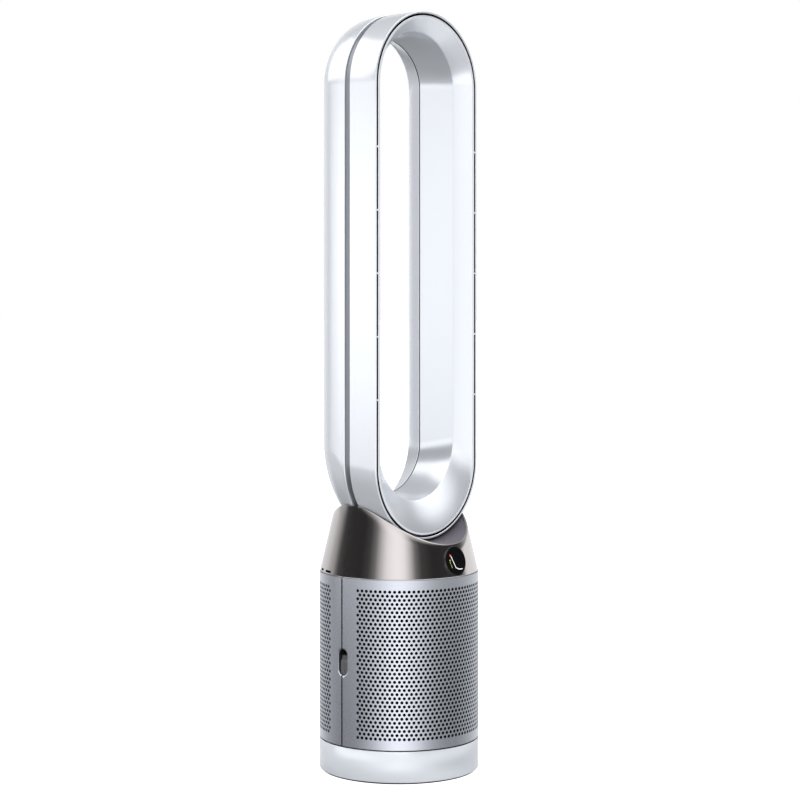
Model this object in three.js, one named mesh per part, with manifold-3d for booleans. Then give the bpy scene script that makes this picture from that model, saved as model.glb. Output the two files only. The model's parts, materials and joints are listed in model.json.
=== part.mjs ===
// Bladeless tower fan: a round base, a turning column with two perforated shrouds and two
// filters, a conical housing with a round display, and a tall oval air loop.
// Millimetres, +Z up, origin on the floor under the column's axis, front towards -Y.

import * as THREE from 'three';
import { mergeVertices } from 'three/addons/utils/BufferGeometryUtils.js';
import Module from 'manifold-3d';

const wasm = await Module();
wasm.setup();

// ------------------------------------------------------------------ driving sizes

// Clearances and fineness
const seatGap = 0.3;            // between pieces that are seated on each other
const turnGap = 0.5;            // between the base and what turns on it
const roundSteps = 40;          // facets round the large circles
const midSteps = 24;            // facets round the hub, the bucket and the display
const smallSteps = 12;          // facets round the small circles

// Whole fan
const fanHeight = 1054;
const bodyRadius = 111;         // outside of the base and of the shrouds
const baseTop = 45.2;           // seam between the base and the turning column
const shroudTop = 275.6;

// Base
const footHeight = 1.5;
const footWidth = 8;
const footInset = 7;
const baseWall = 2.5;
const baseBevel = 1.5;
const baseEdge = 0.8;
const basePlateThickness = 3;
const ledgeWidth = 4;
const ledgeThickness = 3;
const glideHeight = 2.4;
const glideWidth = 8;
const glideInset = 15;          // from the outside of the base to the glide ring
const deckThickness = 3;
const legRadius = 5;
const legInset = 8;             // from the foot ring to the middle of the deck's legs
const legCount = 4;
const screwRadius = 1.4;
const screwHeadRadius = 3.8;
const screwHeadHeight = 1.4;
const screwLength = 13;
const screwPlay = 0.3;
const glandRadius = 6;
const glandBore = 3.5;
const glandLength = 12;
const glandHeight = 14;         // height of the cord inlet above the floor

// Circuit boards
const boardThickness = 1.6;
const boardLegRadius = 2.5;
const boardLegHeight = 4;
const boardLegInset = 4;
const powerBoardWidth = 48;
const powerBoardDepth = 60;
const powerBoardInset = 21;     // from the outside of the base

// Swivel drive
const gearModule = 1.25;
const hubTeeth = 64;
const pinionTeeth = 16;
const gearWidth = 6;
const gearDrop = 6;             // space between the deck and the gears
const gearBacklash = 0.3;
const pressureAngle = THREE.MathUtils.degToRad(20);
const hubRadius = 26;
const hubBore = 20;
const bushWall = 3.7;
const retainerWidth = 12;
const retainerThickness = 2;
const swivelMotorRadius = 14;
const swivelMotorNeck = 4;      // height of the boss above the motor's can
const swivelBossRadius = 6;
const swivelShaftRadius = 2.5;

// Column
const turntableThickness = 4;
const shroudWall = 1.5;
const shroudLip = 3.2;          // reach of the lips that hook the shroud on the decks
const shroudLipHeight = 1.2;
const shroudLipBearing = 80;    // degrees each side of the shroud's middle
const postHalfWidth = 12;
const postDepth = 34;
const postWall = 2;
const skirtHeight = 4;          // how far the cone's skirt reaches down to the upper deck
const upperDeckThickness = 4;
const housingSeam = 0.6;        // dark line between the shrouds and the cone
const shroudSeam = 2.4;         // between the two shrouds, at the sides

// Release buttons
const recessHalfWidth = 8.75;
const recessBottom = 142;
const recessTop = 178;
const buttonTravel = 4;
const buttonThickness = 10;
const buttonPlateHeight = 19;
const buttonLedgeHeight = 8;
const buttonLedgeSlope = 3.4;   // how far the finger ledge leans in
const springRadius = 3;
const springWire = 0.6;
const springTurns = 5;
const springLength = 24;

// Filters
const filterLipGap = 0.8;       // between a filter and the shroud's lips
const filterInset = 10;         // from the motor bucket's flange to the filters
const filterPlate = 3;
const filterEndGap = 0.6;       // between a filter's end wall and the posts
const filterEndWall = 2;
const pleatDepth = 18;
const pleatCount = 30;
const pleatPaper = 1.2;
const pleatBearing = 78;        // degrees each side of the filter's middle
const carbonGap = 1;            // between the carbon and the pleats
const carbonInset = 2;          // from the frame's inside to the carbon
const carbonBearing = 75;

// Motor bucket and air mover
const flangeRadius = 58;
const flangeThickness = 2.5;
const gasketThickness = 1.5;
const bucketRadius = 50;
const bucketWall = 2.2;
const bucketMouthRadius = 36;
const bucketMouthHeight = 112;
const bucketShoulderHeight = 200;
const bellDepth = 8;
const bellFlare = 8;
const motorRadius = 20;
const motorEdge = 4;
const motorBottom = 156;
const motorTop = 228;
const motorBoreDepth = 20;
const shaftRadius = 2.5;
const impellerBottom = 118;
const impellerTop = 150;
const impellerNose = 9;
const impellerHub = 27;
const impellerRunningGap = 1.5;
const impellerBlades = 9;
const impellerSteps = 8;        // facets of the blades from bottom to top
const hubFlare = 1.4;
const bladeThickness = 1.6;
const bladeSweep = THREE.MathUtils.degToRad(40);
const diffuserBottom = 203;
const diffuserHeight = 22;
const diffuserRing = 1.8;
const diffuserVanes = 7;
const vaneSweep = THREE.MathUtils.degToRad(24);
const vaneMargin = 1.2;         // from the vanes' ends to those of the diffuser

// Conical housing
const coneInset = 0.4;          // how far the cone stands in from the shrouds at its foot
const coneTaper = 0.234;        // lost radius per height
const coneWall = 3;
const rimChamfer = 1.5;
const saddleGap = 3;            // between the rim's front and the loop's lowest point
const saddleRise = 53.4;        // from the rim's front to its sides
const saddleRear = 17.5;        // from the rim's front to its rear
const saddleWaist = 1;          // flattens the rim between front and sides
const linerThickness = 3;
const linerEdge = 3;            // how far the liner stops short of the rim at its sides
const displayRadius = 20.5;     // outside of the bezel
const displayMargin = 0.8;      // from the cone's foot to the bezel
const bezelWidth = 1.1;
const bezelDepth = 9;
const bezelProud = 0.5;         // how far the flat bezel stands out of the cone at its middle
const lensThickness = 3;
const lensTravel = 1.2;
const mainBoardWidth = 76;
const mainBoardDepth = 34;
const mainBoardGap = 4;         // behind the neck's flange
const ventHeight = 280;
const ventSlot = 3;             // height of the sensor slots
const ventBearings = [[-123, -120], [-114.25, -105.75]];
const sensorDepth = 16;
const sensorHeight = 16;
const sensorWidth = 22;
const sensorBearing = -112;

// Neck and flap
const neckRadius = 45;
const neckTopHalfWidth = 48;
const neckTopHalfDepth = 34;
const neckTop = 340;
const neckWall = 2;
const neckFlange = 7;
const flapHalfLength = 36;
const flapChord = 36;
const flapThickness = 2;
const flapPinRadius = 2;
const flapMotorLength = 20;
const flapMotorWidth = 24;

// Air loop
const loopInset = 7;            // from the body's side to the loop's
const loopFront = -54;
const loopRear = 61;
const loopBottom = 323;
const loopWall = 2;
const rimBevel = 1.5;
const rimWidth = 2.8;
const slotWidth = 3;
const slotDepth = 14;
const frontRingWidth = 3.2;
const throatY = -32.6;
const innerSeamY = 35.1;
const bandFront = -4;
const bandRear = 6;
const bandLap = 4;
const webHeight = 2.4;
const webCount = 5;             // bridges in the air slot on each straight side
const webTopMargin = 87.4;      // from the end of the straight side to the highest bridge
const webFootMargin = 92.6;
const loopArcSteps = 14;        // facets round each end of the loop

// ------------------------------------------------------------------ worked-out sizes

const basePlateBottom = footHeight + seatGap;
const basePlateTop = basePlateBottom + basePlateThickness;
const baseInner = bodyRadius - baseWall;
const legCircle = bodyRadius - footInset - footWidth - legInset;
const turntableBottom = baseTop + turnGap;
const turntableTop = turntableBottom + turntableThickness;
const glideBottom = turntableBottom - seatGap - glideHeight;
const deckTop = glideBottom - seatGap;
const deckBottom = deckTop - deckThickness;
const ledgeTop = deckBottom - seatGap;
const gearTop = deckBottom - gearDrop;
const gearBottom = gearTop - gearWidth;
const hubPitchRadius = gearModule * hubTeeth / 2;
const pinionPitchRadius = gearModule * pinionTeeth / 2;
const gearSpacing = hubPitchRadius + pinionPitchRadius;

const shroudInner = bodyRadius - shroudWall;
const columnRadius = shroudInner - turnGap;
const coneBottom = shroudTop + housingSeam;
const upperDeckTop = coneBottom - skirtHeight - seatGap;
const upperDeckBottom = upperDeckTop - upperDeckThickness;
const postFace = Math.sqrt(columnRadius ** 2 - postHalfWidth ** 2);
const postBottom = turntableTop + seatGap;
const postTop = upperDeckBottom - seatGap;
const buttonTop = recessBottom + buttonPlateHeight + buttonLedgeHeight;
const buttonHalfWidth = recessHalfWidth - turnGap;
const springX = postFace - postWall - seatGap - springWire - springRadius;
const springBottom = recessBottom - seatGap - springLength;
const filterBottom = turntableTop + seatGap;
const filterTop = upperDeckBottom - shroudLipHeight - turnGap - seatGap;
const filterEnd = postHalfWidth + filterEndGap;
const filterOuter = shroudInner - shroudLip - filterLipGap;
const filterInner = flangeRadius + filterInset;
const pleatOuter = filterOuter - 1;
const pleatFold = pleatPaper * 2.2;   // the paper's thickness across its steep folds
const carbonOuter = pleatOuter - pleatDepth - pleatFold - carbonGap;
const flangeTop = upperDeckBottom - seatGap - gasketThickness - seatGap;

const coneFoot = bodyRadius - coneInset;
const rimFront = loopBottom - saddleGap;
const flapHeight = (upperDeckTop + rimFront - linerThickness) / 2;
const displayHeight = coneBottom + displayRadius + displayMargin;
const displayTilt = Math.atan(coneTaper);
const loopHalfWidth = bodyRadius - loopInset;
const loopTopCentre = fanHeight - loopHalfWidth;
const loopBottomCentre = loopBottom + loopHalfWidth;

// ------------------------------------------------------------------ shape helpers

/** Merges shared corners and turns the faces outwards, so the geometry is one closed body. */
function closed(geometry) {
  const bare = geometry.index ? geometry : mergeVertices(geometry);
  bare.deleteAttribute('normal');
  bare.deleteAttribute('uv');
  const merged = mergeVertices(bare, 1e-4);
  const corners = merged.attributes.position;
  const faces = Array.from(merged.index.array);
  const [a, b, c] = [new THREE.Vector3(), new THREE.Vector3(), new THREE.Vector3()];
  const kept = [];
  let volume = 0;
  for (let i = 0; i < faces.length; i += 3) {
    const [p, q, r] = faces.slice(i, i + 3);
    if (p === q || q === r || r === p) continue;
    kept.push(p, q, r);
    a.fromBufferAttribute(corners, p);
    b.fromBufferAttribute(corners, q);
    c.fromBufferAttribute(corners, r);
    volume += a.dot(b.cross(c)) / 6;
  }
  if (volume < 0) kept.reverse();
  merged.setIndex(kept);
  return merged;
}

function toSolid(geometry) {
  const shape = closed(geometry);
  return new wasm.Manifold(new wasm.Mesh({
    numProp: 3,
    vertProperties: new Float32Array(shape.attributes.position.array),
    triVerts: new Uint32Array(shape.index.array),
  }));
}

function toGeometry(solid) {
  const mesh = solid.getMesh();
  const geometry = new THREE.BufferGeometry();
  geometry.setAttribute('position', new THREE.BufferAttribute(mesh.vertProperties, 3));
  geometry.setIndex(Array.from(mesh.triVerts));
  return geometry;
}

function join(first, ...others) {
  return toGeometry(others.reduce((sum, item) => sum.add(toSolid(item)), toSolid(first)));
}

function cut(body, ...tools) {
  return toGeometry(tools.reduce((rest, item) => rest.subtract(toSolid(item)), toSolid(body)));
}

function common(first, second) {
  return toGeometry(toSolid(first).intersect(toSolid(second)));
}

/** Skins rows of points: each row is a closed outline, and the rows close on each other or are capped. */
function loft(rows, { ring = false, caps = null } = {}) {
  const width = rows[0].length;
  const positions = rows.flat().flatMap((point) => point.toArray());
  const faces = [];
  const bands = ring ? rows.length : rows.length - 1;
  for (let i = 0; i < bands; i++) {
    for (let j = 0; j < width; j++) {
      const a = i * width + j;
      const b = i * width + (j + 1) % width;
      const c = ((i + 1) % rows.length) * width + (j + 1) % width;
      const d = ((i + 1) % rows.length) * width + j;
      faces.push(a, b, c, a, c, d);
    }
  }
  if (!ring) {
    const fan = Array.from({ length: width - 2 }, (_, k) => [0, k + 1, k + 2]);
    const last = (rows.length - 1) * width;
    for (const [p, q, r] of caps ?? fan) {
      faces.push(p, r, q, last + p, last + q, last + r);
    }
  }
  const geometry = new THREE.BufferGeometry();
  geometry.setAttribute('position', new THREE.Float32BufferAttribute(positions, 3));
  geometry.setIndex(faces);
  return closed(geometry);
}

/** Turns a closed outline of [radius, height] points all the way round the Z axis. */
function turned(profile, steps = roundSteps) {
  const points = profile.map(([radius, height]) => new THREE.Vector2(radius, height));
  const onAxis = profile[0][0] === 0 && profile[profile.length - 1][0] === 0;
  if (!onAxis) points.push(points[0].clone());
  return closed(new THREE.LatheGeometry(points, steps).rotateX(Math.PI / 2));
}

/** A point at a bearing in degrees: 0 is the front (-Y) and 90 is the right side (+X). */
function atBearing(radius, bearing, height) {
  const angle = THREE.MathUtils.degToRad(bearing);
  return new THREE.Vector3(radius * Math.sin(angle), -radius * Math.cos(angle), height);
}

/** Turns a closed outline of [radius, height] points between two bearings. */
function arc(profile, from, to, steps = roundSteps / 2) {
  const outline = profile.map(([radius, height]) => new THREE.Vector2(radius, height));
  const caps = THREE.ShapeUtils.triangulateShape(outline, []);
  const rows = [];
  for (let i = 0; i <= steps; i++) {
    const bearing = from + (to - from) * i / steps;
    rows.push(profile.map(([radius, height]) => atBearing(radius, bearing, height)));
  }
  return loft(rows, { caps });
}

function tubeProfile(inner, outer, bottom, top) {
  return [[inner, bottom], [outer, bottom], [outer, top], [inner, top]];
}

function box(xs, ys, zs) {
  const size = [xs, ys, zs].map(([low, high]) => high - low);
  const middle = [xs, ys, zs].map(([low, high]) => (low + high) / 2);
  return closed(new THREE.BoxGeometry(...size).translate(...middle));
}

function rod(radius, bottom, top, x = 0, y = 0, steps = smallSteps) {
  const shape = new THREE.CylinderGeometry(radius, radius, top - bottom, steps);
  return closed(shape.rotateX(Math.PI / 2).translate(x, y, (bottom + top) / 2));
}

/** A cylinder along +Y or +X, for pins and cutters. */
function rodAlong(axis, radius, from, to, across, height) {
  const shape = new THREE.CylinderGeometry(radius, radius, to - from, smallSteps);
  const middle = (from + to) / 2;
  if (axis === 'y') return closed(shape.translate(across, middle, height));
  return closed(shape.rotateZ(Math.PI / 2).translate(middle, across, height));
}

function prism(points, length) {
  const shape = new THREE.Shape(points.map(([x, y]) => new THREE.Vector2(x, y)));
  return new THREE.ExtrudeGeometry(shape, { depth: length, bevelEnabled: false });
}

// ------------------------------------------------------------------ base

function footRing() {
  const outer = bodyRadius - footInset;
  return turned(tubeProfile(outer - footWidth, outer, 0, footHeight));
}

function legPlaces() {
  return Array.from({ length: legCount }, (_, i) => {
    const bearing = 360 / legCount * (i + 0.5);
    return atBearing(legCircle, bearing, 0);
  });
}

function basePlate() {
  const radius = baseInner - seatGap;
  const plate = rod(radius, basePlateBottom, basePlateTop, 0, 0, roundSteps);
  const headSpace = basePlateBottom + screwHeadHeight + screwPlay + seatGap;
  const holes = legPlaces().flatMap(({ x, y }) => [
    rod(screwRadius + screwPlay, 0, basePlateTop + 1, x, y),
    rod(screwHeadRadius + screwPlay, 0, headSpace, x, y),
  ]);
  return cut(plate, ...holes);
}

function baseScrew({ x, y }) {
  const bottom = basePlateBottom + seatGap;
  return turned([
    [0, bottom],
    [screwHeadRadius, bottom],
    [screwHeadRadius, bottom + screwHeadHeight - screwPlay],
    [screwRadius, bottom + screwHeadHeight],
    [screwRadius, bottom + screwLength],
    [0, bottom + screwLength],
  ], 12).translate(x, y, 0);
}

function baseRing() {
  const wall = turned([
    [bodyRadius - baseBevel, basePlateBottom],
    [bodyRadius, basePlateBottom + baseBevel],
    [bodyRadius, baseTop - baseEdge],
    [bodyRadius - baseEdge, baseTop],
    [baseInner, baseTop],
    [baseInner, ledgeTop],
    [baseInner - ledgeWidth, ledgeTop],
    [baseInner - ledgeWidth, ledgeTop - ledgeThickness],
    [baseInner, ledgeTop - ledgeThickness - ledgeWidth],
    [baseInner, basePlateBottom],
  ]);
  const inlet = rodAlong('y', glandRadius + seatGap, baseInner - 1, bodyRadius + 1, 0, glandHeight);
  return cut(wall, inlet);
}

function cordGland() {
  const rear = bodyRadius - baseEdge;
  const body = rodAlong('y', glandRadius, rear - glandLength, rear, 0, glandHeight);
  const bore = rodAlong('y', glandBore, rear - glandLength - 1, rear + 1, 0, glandHeight);
  return cut(body, bore);
}

function baseDeck() {
  const hole = hubRadius + seatGap + bushWall + seatGap;
  const plate = turned(tubeProfile(hole, baseInner - seatGap, deckBottom, deckTop));
  const foot = basePlateTop + seatGap;
  const legs = legPlaces().map(({ x, y }) => rod(legRadius, foot, deckBottom + 1, x, y));
  const pilotTop = basePlateBottom + seatGap + screwLength + 1;
  const pilots = legPlaces().map(({ x, y }) => rod(screwRadius + screwPlay, foot - 1, pilotTop, x, y, 12));
  return cut(join(plate, ...legs), ...pilots);
}

function glideRing() {
  const outer = bodyRadius - glideInset;
  return turned(tubeProfile(outer - glideWidth, outer, glideBottom, glideBottom + glideHeight));
}

function hubBush() {
  const inner = hubRadius + seatGap;
  return turned(tubeProfile(inner, inner + bushWall, deckBottom, deckTop), midSteps);
}

function swivelMotor() {
  const canTop = gearBottom - swivelMotorNeck;
  return turned([
    [0, basePlateTop + seatGap],
    [swivelMotorRadius, basePlateTop + seatGap],
    [swivelMotorRadius, canTop],
    [swivelBossRadius, canTop],
    [swivelBossRadius, gearBottom - seatGap],
    [swivelShaftRadius, gearBottom - seatGap],
    [swivelShaftRadius, gearTop + 1],
    [0, gearTop + 1],
  ], midSteps).translate(0, gearSpacing, 0);
}

/** A circuit board on four legs, with boxy components; its place is that of its lower corner. */
function circuitBoard({ width, depth, parts }) {
  const [left, right] = [boardLegInset, width - boardLegInset];
  const [near, far] = [boardLegInset, depth - boardLegInset];
  const corners = [[left, near], [right, near], [right, far], [left, far]];
  const plate = box([0, width], [0, depth], [boardLegHeight, boardLegHeight + boardThickness]);
  const legTop = boardLegHeight + boardThickness / 2;
  const legs = corners.map(([x, y]) => rod(boardLegRadius, 0, legTop, x, y, 8));
  const blocks = parts.map(([x, y, wide, deep, high]) => box(
    [x, x + wide],
    [y, y + deep],
    [legTop, boardLegHeight + boardThickness + high],
  ));
  return join(plate, ...legs, ...blocks);
}

function powerBoard() {
  return circuitBoard({
    width: powerBoardWidth,
    depth: powerBoardDepth,
    parts: [[6, 18, 20, 24, 12], [32, 12, 10, 10, 9], [31, 40, 12, 8, 6]],
  });
}

// ------------------------------------------------------------------ swivel gears

/** The outline of a spur gear with involute flanks, each flank in two points. */
function gearOutline(teeth, phase) {
  const pitch = gearModule * teeth / 2;
  const base = pitch * Math.cos(pressureAngle);
  const root = pitch - 1.25 * gearModule;
  const tip = pitch + 0.9 * gearModule;
  const involute = (radius) => {
    const angle = Math.acos(Math.min(1, base / radius));
    return Math.tan(angle) - angle;
  };
  const halfTooth = Math.PI / (2 * teeth) - gearBacklash / (2 * pitch);
  const spread = (radius) => halfTooth + involute(pitch) - involute(radius);
  const flank = [root, tip];
  const points = [];
  for (let i = 0; i < teeth; i++) {
    const middle = phase + i * 2 * Math.PI / teeth;
    for (const radius of flank) {
      points.push([radius, middle - spread(Math.max(radius, base))]);
    }
    for (const radius of flank.toReversed()) {
      points.push([radius, middle + spread(Math.max(radius, base))]);
    }
  }
  return points.map(([radius, angle]) => [radius * Math.cos(angle), radius * Math.sin(angle)]);
}

function gear(teeth, bore, phase) {
  const blank = prism(gearOutline(teeth, phase), gearWidth).translate(0, 0, gearBottom);
  return cut(blank, rod(bore, gearBottom - 1, gearTop + 1, 0, 0, midSteps));
}

function hubGear() {
  return gear(hubTeeth, hubRadius + seatGap, 0);
}

function swivelPinion() {
  const halfPitch = Math.PI / pinionTeeth;
  return gear(pinionTeeth, swivelShaftRadius + seatGap, halfPitch);
}

function hubRetainer() {
  const top = gearBottom - seatGap;
  return turned(tubeProfile(hubBore, hubBore + retainerWidth, top - retainerThickness, top), midSteps);
}

// ------------------------------------------------------------------ column

function turntable() {
  return turned([
    [hubBore, gearBottom],
    [hubRadius, gearBottom],
    [hubRadius, turntableBottom],
    [columnRadius, turntableBottom],
    [columnRadius, turntableTop],
    [hubBore, turntableTop],
  ]);
}

/** A channel-shaped post with the release button's window and the shelf of its spring. */
function sidePost(side) {
  const [half, inner] = [postHalfWidth, postHalfWidth - postWall];
  const back = postFace - postDepth;
  const web = postFace - postWall;
  const outline = [
    [back, -half], [postFace, -half], [postFace, half], [back, half],
    [back, inner], [web, inner], [web, -inner], [back, -inner],
  ];
  const channel = prism(outline, postTop - postBottom).translate(0, 0, postBottom);
  const windowBottom = recessBottom - buttonTravel - turnGap;
  const window = box(
    [web - 1, postFace + 1],
    [-recessHalfWidth, recessHalfWidth],
    [windowBottom, recessTop],
  );
  const shelf = box(
    [springX - springRadius - 3, web + 0.5],
    [-inner - 0.5, inner + 0.5],
    [springBottom - seatGap - postWall, springBottom - seatGap],
  );
  const post = join(cut(channel, window), shelf);
  return closed(post).rotateZ(side > 0 ? 0 : Math.PI);
}

function releaseButton(side) {
  const face = postFace - seatGap;
  const plateTop = recessBottom + buttonPlateHeight;
  const outline = [
    [face - buttonThickness, recessBottom],
    [face, recessBottom],
    [face, plateTop],
    [face - buttonLedgeSlope, buttonTop],
    [face - buttonThickness, buttonTop],
  ];
  const body = prism(outline, 2 * buttonHalfWidth).translate(0, 0, -buttonHalfWidth);
  return closed(body.rotateX(Math.PI / 2)).rotateZ(side > 0 ? 0 : Math.PI);
}

/** The centre line of a coil spring that stands on Z. */
class CoilLine extends THREE.Curve {
  constructor(radius, height, turns) {
    super();
    this.radius = radius;
    this.height = height;
    this.turns = turns;
  }

  getPoint(t, target = new THREE.Vector3()) {
    const angle = 2 * Math.PI * this.turns * t;
    return target.set(this.radius * Math.cos(angle), this.radius * Math.sin(angle), this.height * t);
  }
}

function buttonSpring(side) {
  const wire = new THREE.Shape();
  const sides = 4;
  for (let i = 0; i < sides; i++) {
    const angle = 2 * Math.PI * i / sides;
    const [x, y] = [springWire * Math.cos(angle), springWire * Math.sin(angle)];
    if (i === 0) wire.moveTo(x, y);
    else wire.lineTo(x, y);
  }
  wire.closePath();
  const line = new CoilLine(springRadius, springLength - 2 * springWire, springTurns);
  const steps = springTurns * 6;
  const coil = new THREE.ExtrudeGeometry(wire, { steps, extrudePath: line, bevelEnabled: false });
  return closed(coil).translate(side * springX, 0, springBottom + springWire);
}

function upperDeck() {
  return turned(tubeProfile(neckRadius - neckWall, columnRadius, upperDeckBottom, upperDeckTop));
}

// ------------------------------------------------------------------ shrouds and filters

/** The front shroud; the rear one is the same piece turned half round. */
function shroud() {
  const seam = THREE.MathUtils.radToDeg(shroudSeam / 2 / bodyRadius);
  const wall = arc(tubeProfile(shroudInner, bodyRadius, baseTop + turnGap, shroudTop), -90 + seam, 90 - seam);
  const lipInner = shroudInner - shroudLip;
  const lowLip = turntableTop + seatGap;
  const highLip = upperDeckBottom - seatGap - shroudLipHeight;
  const lips = [lowLip, highLip].map((bottom) => arc(
    tubeProfile(lipInner, shroudInner + 0.5, bottom, bottom + shroudLipHeight),
    -shroudLipBearing,
    shroudLipBearing,
  ));
  const recesses = [-1, 1].map((side) => recessCutter().translate(side * bodyRadius, 0, 0));
  return cut(join(wall, ...lips), ...recesses);
}

/** A long hole with round ends, for the windows of the release buttons. */
function recessCutter() {
  const low = recessBottom + recessHalfWidth;
  const high = recessTop - recessHalfWidth;
  const shape = new THREE.Shape();
  shape.moveTo(recessHalfWidth, low);
  shape.lineTo(recessHalfWidth, high);
  shape.absarc(0, high, recessHalfWidth, 0, Math.PI, false);
  shape.lineTo(-recessHalfWidth, low);
  shape.absarc(0, low, recessHalfWidth, Math.PI, 2 * Math.PI, false);
  const depth = 10;
  const cutter = new THREE.ExtrudeGeometry(shape, { depth, curveSegments: 6, bevelEnabled: false });
  return closed(cutter.translate(0, 0, -depth / 2).rotateX(Math.PI / 2).rotateZ(Math.PI / 2));
}

/** The front filter's frame: two half rings and the walls at their ends. */
function filterFrame() {
  const half = [-90, 90];
  const low = tubeProfile(filterInner, filterOuter, filterBottom, filterBottom + filterPlate);
  const high = tubeProfile(filterInner, filterOuter, filterTop - filterPlate, filterTop);
  const wallEnd = Math.sqrt(filterOuter ** 2 - (filterEnd + filterEndWall) ** 2);
  const walls = [-1, 1].map((side) => box(
    side > 0 ? [filterInner, wallEnd] : [-wallEnd, -filterInner],
    [-filterEnd - filterEndWall, -filterEnd],
    [filterBottom, filterTop],
  ));
  const frame = join(arc(low, ...half), arc(high, ...half), ...walls);
  const beyond = box([-bodyRadius, bodyRadius], [-filterEnd, bodyRadius], [0, shroudTop]);
  return cut(frame, beyond);
}

/** Folded paper: one zigzag strip, drawn up between the frame's half rings. */
function filterPleats() {
  const radii = [pleatOuter, pleatOuter - pleatDepth];
  const front = [];
  const back = [];
  for (let i = 0; i <= 2 * pleatCount; i++) {
    const bearing = pleatBearing * (i / pleatCount - 1);
    front.push(atBearing(radii[i % 2], bearing, 0));
    back.push(atBearing(radii[i % 2] - pleatFold, bearing, 0));
  }
  const outline = [...front, ...back.reverse()].map(({ x, y }) => [x, y]);
  const bottom = filterBottom + filterPlate + seatGap;
  const top = filterTop - filterPlate - seatGap;
  return closed(prism(outline, top - bottom).translate(0, 0, bottom));
}

function carbonLayer() {
  const bottom = filterBottom + filterPlate + seatGap;
  const top = filterTop - filterPlate - seatGap;
  const profile = tubeProfile(filterInner + carbonInset, carbonOuter, bottom, top);
  return arc(profile, -carbonBearing, carbonBearing, roundSteps / 2);
}

// ------------------------------------------------------------------ motor bucket and air mover

function bucketGasket() {
  const bottom = flangeTop + seatGap;
  const inner = bucketRadius - bucketWall;
  return turned(tubeProfile(inner, flangeRadius, bottom, bottom + gasketThickness), midSteps);
}

/** The bucket's inside radius at a height. */
function bucketBore(height) {
  const mouth = bucketMouthRadius - bucketWall;
  const bore = bucketRadius - bucketWall;
  const share = (height - bucketMouthHeight) / (bucketShoulderHeight - bucketMouthHeight);
  return mouth + (bore - mouth) * Math.min(1, Math.sqrt(Math.max(0, share)));
}

function motorBucket() {
  const wallHeights = [0, 0.12, 0.35, 0.65, 1].map(
    (share) => bucketMouthHeight + share * (bucketShoulderHeight - bucketMouthHeight),
  );
  const inside = wallHeights.map((height) => [bucketBore(height), height]);
  const outside = inside.map(([radius, height]) => [radius + bucketWall, height]).reverse();
  return turned([
    ...inside,
    [bucketRadius - bucketWall, flangeTop],
    [flangeRadius, flangeTop],
    [flangeRadius, flangeTop - flangeThickness],
    [bucketRadius, flangeTop - flangeThickness],
    ...outside,
  ], midSteps);
}

function inletBellmouth() {
  const top = bucketMouthHeight - seatGap;
  const throat = bucketMouthRadius - bucketWall;
  return turned([
    [throat, top],
    [throat, top - bellDepth * 0.4],
    [throat + bellFlare * 0.4, top - bellDepth * 0.85],
    [throat + bellFlare, top - bellDepth],
    [throat + bellFlare + bucketWall, top - bellDepth * 0.8],
    [throat + bellFlare * 0.5 + bucketWall, top - bellDepth * 0.5],
    [throat + bucketWall, top],
  ], midSteps);
}

function motorHousing() {
  const bore = shaftRadius + seatGap;
  const [low, high] = [motorBottom + motorEdge, motorTop - motorEdge];
  const face = motorRadius - motorEdge;
  return turned([
    [0, motorBottom + motorBoreDepth],
    [bore, motorBottom + motorBoreDepth],
    [bore, motorBottom],
    [face, motorBottom],
    [motorRadius, low],
    [motorRadius, high],
    [face, motorTop],
    [0, motorTop],
  ], smallSteps);
}

function motorShaft() {
  return rod(shaftRadius, impellerBottom, motorBottom + motorBoreDepth - seatGap);
}

/** The impeller's outline at a height: the blades stand out of the hub and sweep round as they rise. */
function impellerOutline(height) {
  const share = (height - impellerBottom) / (impellerTop - impellerBottom);
  const hub = impellerNose + (impellerHub - impellerNose) * share ** hubFlare;
  const tip = bucketBore(height) - impellerRunningGap;
  const pitch = 2 * Math.PI / impellerBlades;
  return Array.from({ length: impellerBlades }, (_, i) => {
    const middle = i * pitch + bladeSweep * share;
    const [root, edge] = [hub, tip].map((radius) => bladeThickness / (2 * radius));
    const corners = [[hub, -root], [tip, -edge], [tip, edge], [hub, root], [hub, pitch / 2]];
    return corners.map(([radius, turn]) => {
      const angle = middle + turn;
      return new THREE.Vector3(radius * Math.cos(angle), radius * Math.sin(angle), height);
    });
  }).flat();
}

function impeller() {
  const rows = Array.from({ length: impellerSteps + 1 }, (_, i) => (
    impellerOutline(impellerBottom + (impellerTop - impellerBottom) * i / impellerSteps)
  ));
  const corners = 5;
  const starts = Array.from({ length: impellerBlades }, (_, i) => corners * i);
  const hubRound = starts.flatMap((start) => [start, start + 3, start + 4]);
  const bladeEnds = starts.flatMap((start) => [1, 2].map((next) => [start, start + next, start + next + 1]));
  const hubEnd = Array.from({ length: hubRound.length - 2 }, (_, i) => [0, hubRound[i + 1], hubRound[i + 2]]);
  const body = loft(rows, { caps: [...bladeEnds, ...hubEnd] });
  return cut(body, rod(shaftRadius + seatGap, impellerBottom - 1, impellerTop + 1));
}

/** A curved blade between two radii that may change over its height. */
function blade({ inner, outer, bottom, top, sweep, thickness, start }) {
  const steps = 3;
  const rows = [];
  for (let i = 0; i <= steps; i++) {
    const share = i / steps;
    const height = bottom + (top - bottom) * share;
    const angle = start + sweep * share;
    const [near, far] = [inner(height), outer(height)];
    const corner = (radius, side) => {
      const turn = angle + side * thickness / (2 * radius);
      return new THREE.Vector3(radius * Math.cos(turn), radius * Math.sin(turn), height);
    };
    rows.push([corner(near, -1), corner(far, -1), corner(far, 1), corner(near, 1)]);
  }
  return loft(rows);
}

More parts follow.
